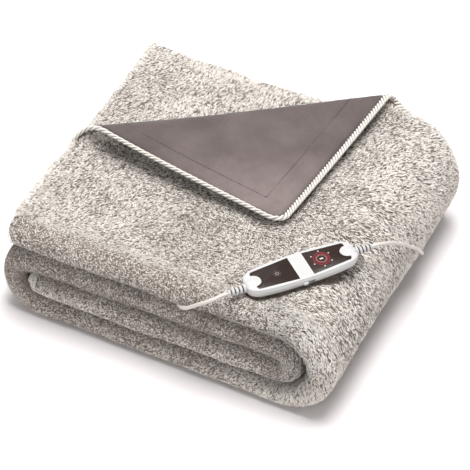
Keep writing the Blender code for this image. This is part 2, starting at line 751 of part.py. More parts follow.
def cords(frame):
    """The lead into the cloth, the mains cord to the coil, and its tail to the plug."""
    relief_end = HANDSET_END + CLEAR + RELIEF_LENGTH + CORD_CLEAR
    for name, side, route in (("lead_cord", -1, LEAD_ROUTE), ("mains_cord", 1, MAINS_ROUTE)):
        start = frame.matrix_world @ Vector((side * relief_end, 0.0, RELIEF_LEVEL))
        run = frame.matrix_world.to_3x3() @ Vector((side * STRAIGHT_RUN, 0.0, 0.0))
        points = [start, start + run] + [world(*point) for point in route]
        if name == "mains_cord":
            points.append(world(*coil_tangent(0.0, -ENTRY_LENGTH)))
        cord(name, points)
    tail = [world(*coil_tangent(math.pi / 2, TAIL_START, TAIL_LEVEL))]
    tail += [world(*point) for point in TAIL_ROUTE]
    into_plug = Vector((math.cos(PLUG_TURN), math.sin(PLUG_TURN), 0.0))
    for distance in (CORD_CLEAR + STRAIGHT_RUN, CORD_CLEAR):
        tail.append(world(PLUG_X, PLUG_Y, PLUG_LEVEL) - into_plug * distance)
    cord("mains_tail", tail)


def main():
    for old in list(bpy.data.objects):
        bpy.data.objects.remove(old)
    pattern = flat_pattern()
    cloth("plush_panel", pattern, LINING + CLEAR - HALF_SHEET, HALF_SHEET, "plush")
    cloth("lining_panel", pattern, -HALF_SHEET, LINING - HALF_SHEET, "lining")
    rope("rope_edging", pattern)
    frame = handset()
    coil()
    tie()
    plug()
    bpy.context.view_layer.update()
    cords(frame)


main()
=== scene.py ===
"""The looks of the folded electric heated blanket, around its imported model. Metres, +Z up."""

from math import copysign, cos, pi, radians, sin, tan

import bmesh
import bpy
import numpy as np
from mathutils import Matrix, Vector

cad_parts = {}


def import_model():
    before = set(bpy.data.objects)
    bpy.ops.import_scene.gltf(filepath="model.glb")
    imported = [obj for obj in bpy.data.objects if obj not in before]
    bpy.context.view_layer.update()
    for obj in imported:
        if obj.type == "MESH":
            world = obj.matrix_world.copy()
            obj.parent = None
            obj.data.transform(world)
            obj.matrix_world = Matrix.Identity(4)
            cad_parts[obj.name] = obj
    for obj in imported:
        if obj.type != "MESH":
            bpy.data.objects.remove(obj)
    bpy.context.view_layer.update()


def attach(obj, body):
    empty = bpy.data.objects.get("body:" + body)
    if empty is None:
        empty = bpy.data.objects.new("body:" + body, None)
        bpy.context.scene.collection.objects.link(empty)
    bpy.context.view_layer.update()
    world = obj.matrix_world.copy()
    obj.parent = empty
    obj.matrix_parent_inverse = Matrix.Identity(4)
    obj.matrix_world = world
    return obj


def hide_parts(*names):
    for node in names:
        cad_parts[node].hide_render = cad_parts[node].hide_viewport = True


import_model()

# The folded stack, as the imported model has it. x runs from its left end, y from its front.
LAYER = 0.013
HALF_SHEET = 0.0059
LINING = 0.0014
CLEAR = 0.0003
BAND = 3 * LAYER
FLOOR_DROP = HALF_SHEET - LAYER / 2
HEIGHT = 4 * BAND
WIDTH = 0.4766
DEPTH = 0.412
RIGHT_BEND_X = WIDTH - 2 * BAND
LEFT_BEND_X = 1.5 * BAND
TOP_END_X = 0.016
TONGUE_END_X = 0.046
FRONT_BEND_Y = 1.5 * LAYER
BACK_BEND_Y = 0.3996
OVERHANG = 0.020
HIDDEN_EDGE_INSET = 0.008
HIDDEN_EDGE_Y = FRONT_BEND_Y + HIDDEN_EDGE_INSET
CORNER_RADIUS = 0.015
SWELL_X, SWELL_X_LENGTH = 0.0025, 0.50
SWELL_Y, SWELL_Y_LENGTH, SWELL_Y_CREST = 0.0015, 0.42, 0.067
FOLD_START_Y = 0.1217
FOLD_ANGLE = radians(38.0)
FLAP_STRETCH = 1.047
FLAP_SKEW = 0.356
RISE_RADIUS, RISE_ANGLE = 0.051, radians(20.0)
ROLL_RADIUS_LEFT, ROLL_RADIUS_BACK = 0.0211, 0.0090
DESCENT_ANGLE = radians(6.8)
LEVEL_RADIUS = 0.050
FLAP_REST = 0.0131
DROOP_SPAN = 0.050
SAG_REACH, SAG_BELOW, SAG_ABOVE = 0.045, 0.0045, 0.0035
WRAP_RADIUS = 1.5 * LAYER
TOP_EDGE_Y = BACK_BEND_Y + OVERHANG
FOLD_REACH = (TOP_EDGE_Y - FOLD_START_Y) / sin(FOLD_ANGLE)
EDGE_ROLL_REACH = 0.0123
ORIGIN = np.array((WIDTH / 2, (FRONT_BEND_Y - LAYER - HALF_SHEET + TOP_EDGE_Y + EDGE_ROLL_REACH) / 2, 0.0))

# The photograph's camera, which looks at the middle of the stack from the front right.
AZIMUTH, ELEVATION = radians(26.57), radians(45.3)
DISTANCE, CLIP_END = 4.0, 50.0
SENSOR, FRAME_PIXELS, FOCAL_PIXELS = 36.0, 470, 3051.2
AIM_RIGHT, AIM_UP = 0.00275, -0.0190


def world(x, y, z):
    return Vector((x, y, z)) - Vector(ORIGIN)


def link(name, data):
    made = bpy.data.objects.new(name, data)
    bpy.context.collection.objects.link(made)
    return made


def make_camera():
    data = bpy.data.cameras.new("camera")
    data.sensor_width = SENSOR
    data.lens = SENSOR * FOCAL_PIXELS / FRAME_PIXELS
    data.clip_end = CLIP_END
    camera = link("camera", data)
    back = Vector((sin(AZIMUTH) * cos(ELEVATION), -cos(AZIMUTH) * cos(ELEVATION), sin(ELEVATION)))
    right = Vector((cos(AZIMUTH), sin(AZIMUTH), 0.0))
    aim = world(WIDTH / 2, DEPTH / 2, HEIGHT / 2) + right * AIM_RIGHT + back.cross(right) * AIM_UP
    camera.location = aim + back * DISTANCE
    camera.rotation_euler = back.to_track_quat("Z", "Y").to_euler()
    bpy.context.scene.camera = camera


make_camera()


# ---------------------------------------------------------------- numbers and meshes

def unit(values):
    """The values, held between 0 and 1."""
    return np.clip(values, 0.0, 1.0)


def eased(share):
    """A share from 0 to 1, with a soft start and end."""
    return share * share * (3 - 2 * share)


def curved(rows, between):
    """Rows of numbers with extra rows between them, on a smooth curve through them all."""
    rows = np.array(rows, float)
    padded = np.concatenate((2 * rows[:1] - rows[1:2], rows, 2 * rows[-1:] - rows[-2:-1]))
    made = []
    for k in range(len(rows) - 1):
        before, start, end, after = padded[k : k + 4]
        for j in range(between):
            t = j / between
            spot = 2 * start + (end - before) * t + (2 * before - 5 * start + 4 * end - after) * t * t
            made.append((spot + (3 * start - before - 3 * end + after) * t**3) / 2)
    return np.array(made + [rows[-1]])


def smooth_shade(mesh, sharp_from=None):
    mesh.shade_smooth()
    if sharp_from is not None:
        mesh.set_sharp_from_angle(angle=radians(sharp_from))


def mesh_piece(name, points, faces, material, sharp_from=None, body="blanket"):
    """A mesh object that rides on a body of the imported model."""
    mesh = bpy.data.meshes.new(name)
    mesh.from_pydata(points, [], faces)
    smooth_shade(mesh, sharp_from)
    mesh.materials.append(material)
    made = link(name, mesh)
    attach(made, body)
    return made


def point_values(made, name, values):
    """Gives a mesh one number for each point, for its material to read."""
    attribute = made.data.attributes.new(name, "FLOAT", "POINT")
    attribute.data.foreach_set("value", np.asarray(values, np.float32))
    return made


def edited(made, change):
    """Changes a mesh through Blender's mesh editing, for good."""
    body = bmesh.new()
    body.from_mesh(made.data)
    change(body)
    body.to_mesh(made.data)
    body.free()
    return made


def outward(made):
    """Turns a closed mesh's faces outward."""
    return edited(made, lambda body: bmesh.ops.recalc_face_normals(body, faces=body.faces))


def tube_faces(rings, sides, closed=False):
    """Faces that join rings of points, with flat ends unless the tube is a closed loop."""
    faces = []
    for k in range(rings if closed else rings - 1):
        for j in range(sides):
            here, turned = k * sides, ((k + 1) % rings) * sides
            faces.append((here + j, here + (j + 1) % sides, turned + (j + 1) % sides, turned + j))
    if not closed:
        faces.append(tuple(reversed(range(sides))))
        faces.append(tuple(range((rings - 1) * sides, rings * sides)))
    return faces


def merged(shapes):
    """The points and the faces of several shapes, each as one list."""
    points, faces = [], []
    for more_points, more_faces in shapes:
        first = len(points)
        points.extend(more_points)
        faces += [tuple(first + j for j in face) for face in more_faces]
    return points, faces


def arc(x, y, radius, start, end, count):
    """The points of an arc, from one end to the other in so many steps."""
    angles = [start + (end - start) * k / count for k in range(count + 1)]
    return [(x + radius * cos(angle), y + radius * sin(angle)) for angle in angles]


def circle(x, y, radius, count):
    return arc(x, y, radius, 0.0, 2 * pi, count)[:-1]


def box(low_x, high_x, low_y, high_y):
    return [(low_x, low_y), (high_x, low_y), (high_x, high_y), (low_x, high_y)]


def round_box(low_x, high_x, low_y, high_y, corner, count, grow=0.0):
    """The outline of a box with round corners, and grown outward."""
    low_x, high_x, low_y, high_y = low_x + corner, high_x - corner, low_y + corner, high_y - corner
    outline = []
    for x, y, start in ((high_x, low_y, -90), (high_x, high_y, 0), (low_x, high_y, 90), (low_x, low_y, 180)):
        outline += arc(x, y, corner + grow, radians(start), radians(start + 90), count)
    return outline


def raised(*rings):
    """Points and faces of a shape through flat outlines, each given with its level."""
    points = [(x, y, level) for level, outline in rings for x, y in outline]
    return points, tube_faces(len(rings), len(rings[0][1]))


def prism(outline, low, high):
    return raised((low, outline), (high, outline))


def sideways(shape):
    """A shape with its levels along y and its outlines upright."""
    points, faces = shape
    return [(x, y, z) for x, z, y in points], faces


def lathe(profile, sides):
    """Points and faces of a round piece along x, from (distance, radius) pairs."""
    points = [(x, y, z) for x, radius in profile for y, z in circle(0.0, 0.0, radius, sides)]
    return points, tube_faces(len(profile), sides)


# ---------------------------------------------------------------- materials

class Nodes:
    """Short names for one material's nodes. A value is a number, a colour or another node's output."""

    def __init__(self, name, **sockets):
        self.material = bpy.data.materials.new(name)
        self.material.use_nodes = True
        self.tree = self.material.node_tree
        self.set(**sockets)

    def fill(self, socket, value):
        if hasattr(value, "is_output"):
            self.tree.links.new(value, socket)
        elif socket.type == "RGBA":
            socket.default_value = (*value, 1.0)
        else:
            socket.default_value = value

    def set(self, **sockets):
        """Fills sockets of the surface's shader."""
        for name, value in sockets.items():
            self.fill(self.tree.nodes["Principled BSDF"].inputs[name.replace("_", " ")], value)

    def node(self, kind, inputs, output=0, **settings):
        """The output of a new node with these inputs and settings."""
        made = self.tree.nodes.new(kind)
        for name, value in settings.items():
            setattr(made, name, value)
        for name, value in inputs.items():
            self.fill(made.inputs[name], value)
        return made.outputs[output]

    def place(self, turn=0.0):
        """The surface's point in the part's own frame, turned about the vertical."""
        point = self.node("ShaderNodeTexCoord", {}, "Object")
        return self.node("ShaderNodeMapping", {"Vector": point, "Rotation": (0.0, 0.0, turn)})

    def attribute(self, name):
        return self.node("ShaderNodeAttribute", {}, "Fac", attribute_name=name)

    def noise(self, vector, scale, detail=2.0, roughness=0.5):
        inputs = {"Vector": vector, "Scale": scale, "Detail": detail, "Roughness": roughness}
        return self.node("ShaderNodeTexNoise", inputs, "Fac")

    def ramp(self, factor, *stops):
        """Colours, or grey levels, at places from 0 to 1."""
        colour = self.node("ShaderNodeValToRGB", {"Fac": factor}, "Color")
        elements = colour.node.color_ramp.elements
        while len(elements) < len(stops):
            elements.new(0.5)
        for element, (place, level) in zip(elements, stops):
            element.position = place
            element.color = (*level, 1.0) if hasattr(level, "__len__") else (level, level, level, 1.0)
        return colour

    def mix(self, first, second, factor=1.0, blend="MULTIPLY"):
        inputs = {0: factor, 6: first, 7: second}
        return self.node("ShaderNodeMix", inputs, 2, data_type="RGBA", blend_type=blend)

    def add(self, first, second):
        return self.node("ShaderNodeMath", {0: first, 1: second}, operation="ADD")

    def bump(self, height, distance, strength=1.0):
        inputs = {"Height": height, "Distance": distance, "Strength": strength}
        self.set(Normal=self.node("ShaderNodeBump", inputs))


# ---------------------------------------------------------------- the cloth, flat and folded

class Track:
    """Straight and round stretches laid end to end in a plane, running on straight past both ends.

    Each stretch is a length and the angle that it turns left.
    """

    def __init__(self, start, heading, stretches):
        self.start = start
        self.heading = heading
        self.stretches = stretches
        self.length = sum(length for length, _ in stretches)

    def at(self, distance):
        """The two coordinates and the heading at these distances from the start."""
        left = np.array(distance, float)
        first = self.start[0] + 0.0 * left
        second = self.start[1] + 0.0 * left
        heading = self.heading + 0.0 * left
        for length, turn in self.stretches:
            step = np.clip(left, 0.0, length)
            half = turn / length * step / 2
            chord = step * np.sinc(half / pi)
            first = first + chord * np.cos(heading + half)
            second = second + chord * np.sin(heading + half)
            heading = heading + 2 * half
            left = left - step
        return first + left * np.cos(heading), second + left * np.sin(heading), heading


# Along the cloth: over the top, round the right, under, up the left and in between.
TOP_RUN = RIGHT_BEND_X - TOP_END_X
OUTER_BEND = 1.5 * BAND * pi
LONG_RUN = RIGHT_BEND_X - LEFT_BEND_X
LEFT_BEND = BAND * pi
INNER_BEND = 0.5 * BAND * pi
TONGUE_RUN = RIGHT_BEND_X - TONGUE_END_X
SPIRAL_STRETCHES = (
    (TOP_RUN, 0.0),
    (OUTER_BEND, -pi),
    (LONG_RUN, 0.0),
    (LEFT_BEND, -pi),
    (LONG_RUN, 0.0),
    (INNER_BEND, -pi),
    (TONGUE_RUN, 0.0),
)
SPIRAL = Track((TOP_END_X, 3.5 * BAND + FLOOR_DROP), 0.0, SPIRAL_STRETCHES)

# Across the cloth, from the top layer's edge at the back: forward, round the front, back and in.
ROW_RUN = BACK_BEND_Y - FRONT_BEND_Y
FRONT_BEND = LAYER * pi
BACK_BEND = 0.5 * LAYER * pi
HIDDEN_RUN = BACK_BEND_Y - HIDDEN_EDGE_Y
ROW_STRETCHES = (
    (ROW_RUN, 0.0),
    (FRONT_BEND, pi),
    (ROW_RUN, 0.0),
    (BACK_BEND, pi),
    (HIDDEN_RUN, 0.0),
)
ROW = Track((BACK_BEND_Y, LAYER), pi, ROW_STRETCHES)
CLOTH_LENGTH = SPIRAL.length
CLOTH_WIDTH = OVERHANG + ROW.length


def swollen(spots):
    """The points, moved by the stack's broad swells, which fade towards the floor."""
    x, y, z = spots[..., 0], spots[..., 1], spots[..., 2]
    lift = SWELL_X * np.cos(2 * pi * (x - RIGHT_BEND_X) / SWELL_X_LENGTH)
    lift = lift + SWELL_Y * np.cos(2 * pi * (y - SWELL_Y_CREST) / SWELL_Y_LENGTH)
    return np.stack((x, y, z + lift * z / HEIGHT), -1)


def fold_profile(share):
    """The section across the turned corner's fold, at these shares of the way to the back edge."""
    share = unit(share)
    roll_radius = ROLL_RADIUS_LEFT + (ROLL_RADIUS_BACK - ROLL_RADIUS_LEFT) * share
    roll_turn = pi + DESCENT_ANGLE - RISE_ANGLE
    crest = RISE_RADIUS * (1 - cos(RISE_ANGLE))
    crest = crest + roll_radius * (cos(RISE_ANGLE) + cos(DESCENT_ANGLE))
    levelling = LEVEL_RADIUS * (1 - cos(DESCENT_ANGLE))
    descent = (crest - levelling - FLAP_REST) / sin(DESCENT_ANGLE)
    stretches = (
        (RISE_RADIUS * RISE_ANGLE, RISE_ANGLE),
        (roll_radius * roll_turn, roll_turn),
        (descent, 0.0),
        (LEVEL_RADIUS * DESCENT_ANGLE, -DESCENT_ANGLE),
    )
    return Track((0.0, 0.0), 0.0, stretches)


def fold_coordinates(x, y):
    """Distance along the corner's fold line and beyond it, for points of the flat top layer."""
    along = (x - TOP_END_X) * cos(FOLD_ANGLE) + (y - FOLD_START_Y) * sin(FOLD_ANGLE)
    beyond = (y - FOLD_START_Y) * cos(FOLD_ANGLE) - (x - TOP_END_X) * sin(FOLD_ANGLE)
    return along, beyond


def turned_corner(along, beyond, w):
    """Points of the corner that is turned back, w above the middle of its cloth."""
    across, rise, heading = fold_profile(along / FOLD_REACH).at(beyond * FLAP_STRETCH)
    across = across - w * np.sin(heading)
    rise = rise + w * np.cos(heading)
    along = along + FLAP_SKEW * beyond
    x = TOP_END_X + along * cos(FOLD_ANGLE) - across * sin(FOLD_ANGLE)
    y = FOLD_START_Y + along * sin(FOLD_ANGLE) + across * cos(FOLD_ANGLE)
    return np.stack((x, y, 3.5 * BAND + FLOOR_DROP + LAYER + rise), -1)


def row_point(u, v, w):
    """Depth and height above the band's middle, for places on the flat cloth."""
    y, height, heading = ROW.at(v - OVERHANG)
    _, beyond = fold_coordinates(TOP_END_X + u, TOP_EDGE_Y)
    droop = eased(unit(-beyond / DROOP_SPAN))
    wrap = Track((BACK_BEND_Y, LAYER), 0.0, ((OVERHANG, -droop * OVERHANG / WRAP_RADIUS),))
    wrap_y, wrap_height, wrap_heading = wrap.at(OVERHANG - v)
    hanging = v < OVERHANG
    y = np.where(hanging, wrap_y - w * np.sin(wrap_heading), y + w * np.sin(heading))
    height = np.where(hanging, wrap_height + w * np.cos(wrap_heading), height - w * np.cos(heading))
    return y, height


def tongue_squeeze(x):
    """How far the innermost band closes up where it enters the left bend."""
    half_band = LAYER + HALF_SHEET
    room = BAND - half_band - CLEAR
    inside = np.maximum(LEFT_BEND_X - x, 0.0)
    return np.minimum(1.0, np.sqrt(np.maximum(room * room - inside * inside, 0.0)) / half_band)


def front_sag(y, up):
    """How far a band's rounded front leans out over the band below, at these heights above its middle."""
    near = unit((SAG_REACH - y) / SAG_REACH)
    level = np.clip(up / (LAYER + HALF_SHEET), -1.0, 1.0)
    return eased(near) * np.where(level < 0, SAG_BELOW, SAG_ABOVE) * np.sin(level * pi / 2)


def place(u, v, w):
    """Where points of the flat cloth lie once it is folded: u along it, v across, w up its pile."""
    u, v, w = np.broadcast_arrays(*(np.asarray(each, float) for each in (u, v, w)))
    flat_x, flat_y = TOP_END_X + u, TOP_EDGE_Y - v
    along, beyond = fold_coordinates(flat_x, flat_y)
    turned = (flat_x < RIGHT_BEND_X) & (v < TOP_EDGE_Y - FRONT_BEND_Y) & (beyond > 0)
    x, z, course = SPIRAL.at(u)
    y, height = row_point(u, v, w)
    height = np.where(u > CLOTH_LENGTH - TONGUE_RUN, height * tongue_squeeze(x), height)
    y = y + front_sag(y, height * np.cos(course))
    spots = np.stack((x - height * np.sin(course), y, z + height * np.cos(course)), -1)
    spots = np.where(turned[..., None], turned_corner(along, np.maximum(beyond, 0.0), w), spots)
    return swollen(spots) - ORIGIN


class Waves:
    """Smooth random heights from -1 to 1 over the flat cloth."""

    CELLS, START = 257, 40.0

    def __init__(self, size, seed):
        self.size = size
        self.table = np.random.default_rng(seed).uniform(-1.0, 1.0, (self.CELLS, self.CELLS))

    def at(self, u, v):
        a, b = u / self.size + self.START, v / self.size + self.START
        i, j = np.floor(a).astype(int), np.floor(b).astype(int)
        p, q = eased(a - i), eased(b - j)
        i, j, m, n = i % self.CELLS, j % self.CELLS, (i + 1) % self.CELLS, (j + 1) % self.CELLS
        near = self.table[i, j] * (1 - p) + self.table[m, j] * p
        far = self.table[i, n] * (1 - p) + self.table[m, n] * p
        return near * (1 - q) + far * q


# ---------------------------------------------------------------- plush and lining

# The pile starts inside the solid's outer face, so that its tips end near that face.
PILE_SUNK = 0.0018
PILE_ROOT = HALF_SHEET - PILE_SUNK
BROAD_WAVES, BROAD_HEIGHT = Waves(0.060, 11), 0.0016
SMALL_WAVES, SMALL_HEIGHT = Waves(0.022, 12), 0.0006
EDGE_ROUNDING, EDGE_THICKNESS = 0.006, 0.0015
HOLLOW_U, HOLLOW_V, HOLLOW_REACH, HOLLOW_DEPTH = 0.385, 0.412, 0.040, 0.0010
LOWEST = 0.0002  # how near the floor the cloth comes
ALONG_RUNS = [length for length, _ in SPIRAL_STRETCHES]
ACROSS_RUNS = [OVERHANG] + [length for length, _ in ROW_STRETCHES]


def hollow(u, v):
    """How near a place is to the middle of the soft hollow in front of the handset, from 0 to 1."""
    return np.exp(-((u - HOLLOW_U) ** 2 + (v - HOLLOW_V) ** 2) / HOLLOW_REACH**2)


def edge_distance(u, v):
    return np.minimum(np.minimum(u, CLOTH_LENGTH - u), np.minimum(v, CLOTH_WIDTH - v))


def plush_top(u, v):
    """The plush's outer side under its pile, which comes down to the lining at the cloth's edge."""
    waves = BROAD_HEIGHT * BROAD_WAVES.at(u, v) + SMALL_HEIGHT * SMALL_WAVES.at(u, v)
    level = PILE_ROOT + waves - HOLLOW_DEPTH * hollow(u, v)
    edge = unit(edge_distance(u, v) / EDGE_ROUNDING)
    base = LINING + CLEAR - HALF_SHEET + EDGE_THICKNESS
    return base + (level - base) * np.sqrt(1 - (1 - edge) ** 2)


def steps(*stretches):
    """Grid lines through stretches laid end to end, each with its own step."""
    lines = [0.0]
    for length, step in stretches:
        count = max(1, round(length / step))
        lines += [lines[-1] + length * (k + 1) / count for k in range(count)]
    return np.array(lines)


def rounded(u, v):
    """The flat cloth's points, drawn in at the four corners to round them."""
    for corner_u, way_u in ((0.0, 1.0), (CLOTH_LENGTH, -1.0)):
        for corner_v, way_v in ((0.0, 1.0), (CLOTH_WIDTH, -1.0)):
            a = 1 - np.abs(u - corner_u) / CORNER_RADIUS
            b = 1 - np.abs(v - corner_v) / CORNER_RADIUS
            near = (a > 0) & (b > 0)
            a, b = unit(a), unit(b)
            drawn_a, drawn_b = a * np.sqrt(1 - b * b / 2), b * np.sqrt(1 - a * a / 2)
            u = np.where(near, corner_u + way_u * CORNER_RADIUS * (1 - drawn_a), u)
            v = np.where(near, corner_v + way_v * CORNER_RADIUS * (1 - drawn_b), v)
    return u, v


def sheet_mesh(name, u_lines, v_lines, low, high, material):
    """A closed sheet between two levels of the cloth, each a number or a function of u and v."""
    u, v = np.meshgrid(u_lines, v_lines, indexing="ij")
    index = np.arange(u.size).reshape(u.shape)
    u, v = rounded(u.ravel(), v.ravel())
    points = np.concatenate([place(u, v, level(u, v) if callable(level) else level) for level in (high, low)])
    points[:, 2] = np.maximum(points[:, 2], LOWEST)
    near, along, across, both = index[:-1, :-1], index[1:, :-1], index[:-1, 1:], index[1:, 1:]
    top = np.stack((near, across, both, along), -1).reshape(-1, 4)
    loop = np.concatenate((index[:, 0], index[-1, 1:], index[-2::-1, -1], index[0, -2:0:-1]))
    after = np.roll(loop, -1)
    rim = np.stack((loop, after, after + u.size, loop + u.size), -1)
    return mesh_piece(name, points, np.concatenate((top, top[:, ::-1] + u.size, rim)), material)


def plush_backing(material):
    u_lines = steps(*zip(ALONG_RUNS, (0.010, 0.007, 0.020, 0.007, 0.020, 0.007, 0.020)))
    v_lines = steps(*zip(ACROSS_RUNS, (0.005, 0.010, 0.0035, 0.020, 0.0035, 0.012)))
    return sheet_mesh("plush_backing", u_lines, v_lines, LINING + CLEAR - HALF_SHEET, plush_top, material)


SEAM_INSET, SEAM_DEPTH, SEAM_HALF = 0.0265, 0.0007, 0.0016
PUCKER_WAVES, PUCKER_REACH, PUCKER_HEIGHT = Waves(0.009, 21), 0.016, 0.0005
SUEDE_WAVES, SUEDE_HEIGHT = Waves(0.050, 22), 0.0008
LINING_ROUNDING, LINING_EDGE_RISE = 0.003, 0.0009
# Painted light and shade on the turned corner: lighter towards its tip, darker near its fold line and beside
# the rope.
TIP_LIGHT_FULL_AT, TIP_LIGHT_FROM, AWAY_FROM_TIP_LIGHT = 0.205, 0.120, 0.56  # from the corner's fold line to its tip
FOLD_SHADE, FOLD_SHADE_REACH = 0.33, 0.040
EDGE_SHADE, EDGE_SHADE_REACH = 0.20, 0.011
CORNER_SHOWS_U, CORNER_SHOWS_V = 0.44, 0.34  # how far the turned corner reaches on the flat cloth
CORNER_SHOWS_FADE = 0.02
STITCH_LENGTH, STITCH_GAP, STITCH_RADIUS = 0.0034, 0.0012, 0.00035
STITCH_BOW, STITCH_SINK, STITCH_RINGS, STITCH_SIDES = 1.6, 0.0001, 4, 4


def lining_level(u, v):
    """The lining's outer side, lower than w = 0, with its sewn line and the puckers at its edge."""
    seam = np.minimum(np.abs(u - SEAM_INSET), np.abs(v - SEAM_INSET))
    seam = np.where((u > SEAM_INSET - SEAM_HALF) & (v > SEAM_INSET - SEAM_HALF), seam, SEAM_HALF)
    groove = SEAM_DEPTH * unit(1 - seam / SEAM_HALF) ** 1.5
    pucker = PUCKER_HEIGHT * PUCKER_WAVES.at(u, v) * unit(1 - edge_distance(u, v) / PUCKER_REACH)
    shows = unit((CORNER_SHOWS_U - u) / CORNER_SHOWS_FADE) * unit((CORNER_SHOWS_V - v) / CORNER_SHOWS_FADE)
    edge_round = LINING_EDGE_RISE * unit(1 - edge_distance(u, v) / LINING_ROUNDING) ** 2
    return -HALF_SHEET + shows * (groove + pucker + SUEDE_HEIGHT * SUEDE_WAVES.at(u, v)) + edge_round


def suede_lining(material):
    start = (SEAM_INSET - SEAM_HALF, 0.004), (SEAM_HALF, 0.0009), (SEAM_HALF, 0.0009)
    top_left = TOP_RUN - SEAM_INSET - SEAM_HALF, 0.008
    shown = CORNER_SHOWS_V - SEAM_INSET - SEAM_HALF, 0.008
    hidden = OVERHANG + ROW_RUN - CORNER_SHOWS_V, 0.015
    u_lines = steps(*start, top_left, *zip(ALONG_RUNS[1:], (0.012, 0.030, 0.012, 0.030, 0.008, 0.030)))
    v_lines = steps(*start, shown, hidden, *zip(ACROSS_RUNS[2:], (0.004, 0.030, 0.004, 0.025)))
    made = sheet_mesh("suede_lining", u_lines, v_lines, lining_level, LINING - HALF_SHEET, material)
    u, v = (each.ravel() for each in np.meshgrid(u_lines, v_lines, indexing="ij"))
    # Painted light and shade: darker near the fold and beside the rope, lighter towards the tip.
    _, beyond = fold_coordinates(TOP_END_X + u, TOP_EDGE_Y - v)
    edge = np.maximum(edge_distance(u, v), 0.0)
    painted_light = 1 - FOLD_SHADE * np.exp(-np.abs(beyond) / FOLD_SHADE_REACH)
    painted_light = painted_light * (1 - EDGE_SHADE * np.exp(-edge / EDGE_SHADE_REACH))
    painted_light = painted_light * (AWAY_FROM_TIP_LIGHT + (1 - AWAY_FROM_TIP_LIGHT) * unit((beyond - TIP_LIGHT_FROM) / (TIP_LIGHT_FULL_AT - TIP_LIGHT_FROM)))
    return point_values(made, "painted_light", np.tile(painted_light, 2))


def seam_stitches(material):
    """The thread of the sewn line, one low arc for each stitch."""
    t = np.repeat(np.linspace(0.0, 1.0, STITCH_RINGS), STITCH_SIDES)
    angle = np.tile(np.arange(STITCH_SIDES) * 2 * pi / STITCH_SIDES, STITCH_RINGS)
    off = SEAM_INSET + STITCH_RADIUS * np.cos(angle)
    bow = STITCH_RADIUS * STITCH_BOW * np.sin(pi * t)
    level = -HALF_SHEET + SEAM_DEPTH - STITCH_SINK - bow - STITCH_RADIUS * np.sin(angle)
    pitch = STITCH_LENGTH + STITCH_GAP
    stitches = []
    for along_u, reach in ((True, CORNER_SHOWS_U), (False, CORNER_SHOWS_V)):
        for k in range(int((reach - SEAM_INSET) / pitch)):
            along = SEAM_INSET + k * pitch + t * STITCH_LENGTH
            u, v = (along, off) if along_u else (off, along)
            stitches.append((place(u, v, level), tube_faces(STITCH_RINGS, STITCH_SIDES)))
    return mesh_piece("seam_stitches", *merged(stitches), material)


# ---------------------------------------------------------------- the rope round the edge

ROPE_RADIUS, ROPE_LEVEL = 0.0028, -0.003
ROPE_STRANDS, ROPE_PITCH, ROPE_STEP = 3, 0.0195, 0.0019
STRAND_RADIUS, STRAND_OFFSET, STRAND_SIDES = 0.00170, 0.00185, 8
# Where the rope lies pressed under the plush's edge.
PRESSED_FROM, PRESSED_SPAN, PRESSED_SIZE = TOP_EDGE_Y - FOLD_START_Y - 0.042, 0.020, 0.55
# The second number is painted shade: a low rise that darkens the rope hidden in the folds.
HIDDEN_SIDES, HIDDEN_ROPE_SHADE = 6, 0.72
HIDDEN_START, HIDDEN_END, HIDDEN_TURN = 0.004, 0.002, (0.2, 1.37)
HIDDEN_FRONT_POINTS, HIDDEN_CORNER_POINTS, HIDDEN_END_POINTS = 220, 5, 150


def edge_path():
    """Places along the flat cloth's edge and the way out of it, along the back edge and down the left one."""
    back_run, corner = CLOTH_LENGTH - CORNER_RADIUS, CORNER_RADIUS * pi / 2
    total = back_run + corner + CLOTH_WIDTH - CORNER_RADIUS
    s = np.linspace(0.0, total, round(total / ROPE_STEP) + 1)
    turn = np.clip((s - back_run) / CORNER_RADIUS, 0.0, pi / 2)
    out_u, out_v = -np.sin(turn), -np.cos(turn)
    u = np.where(s < back_run, CLOTH_LENGTH - s, CORNER_RADIUS + CORNER_RADIUS * out_u)
    v = np.where(s < back_run, 0.0, CORNER_RADIUS + CORNER_RADIUS * out_v)
    on_left = s >= back_run + corner
    v = np.where(on_left, CORNER_RADIUS + s - back_run - corner, v)
    return s, np.where(on_left, 0.0, u), v, out_u, out_v


def rope_edging(material):
    """Three strands laid round each other along the two edges that show."""
    s, u, v, out_u, out_v = edge_path()
    pressed = np.where(u < CORNER_RADIUS, unit((v - PRESSED_FROM) / PRESSED_SPAN), 0.0)
    size = 1.0 - (1.0 - PRESSED_SIZE) * pressed
    middle = (ROPE_RADIUS + CLEAR) * (1.0 - 2.0 * pressed)
    strands, rises = [], []
    for strand in range(ROPE_STRANDS):
        lay = 2 * pi * (s / ROPE_PITCH + strand / ROPE_STRANDS)
        rings, rise = [], []
        for side in range(STRAND_SIDES):
            angle = 2 * pi * side / STRAND_SIDES
            out = middle + (STRAND_OFFSET * np.cos(lay) + STRAND_RADIUS * cos(angle)) * size
            level = ROPE_LEVEL + (STRAND_OFFSET * np.sin(lay) + STRAND_RADIUS * sin(angle)) * size
            rings.append(place(u + out_u * out, v + out_v * out, level))
            away, aside = STRAND_RADIUS * np.cos(angle - lay), STRAND_RADIUS * np.sin(angle - lay)
            rise.append(np.hypot(STRAND_OFFSET + away, aside) / (STRAND_OFFSET + STRAND_RADIUS))
        rises.append(np.stack(rise, 1).ravel())
        strands.append((np.stack(rings, 1).reshape(-1, 3), tube_faces(len(s), STRAND_SIDES)))
    made = mesh_piece("rope_edging_strands", *merged(strands), material)
    # The rise is low between the strands, where the yarn's colour has painted shade.
    return point_values(made, "rise", np.concatenate(rises))


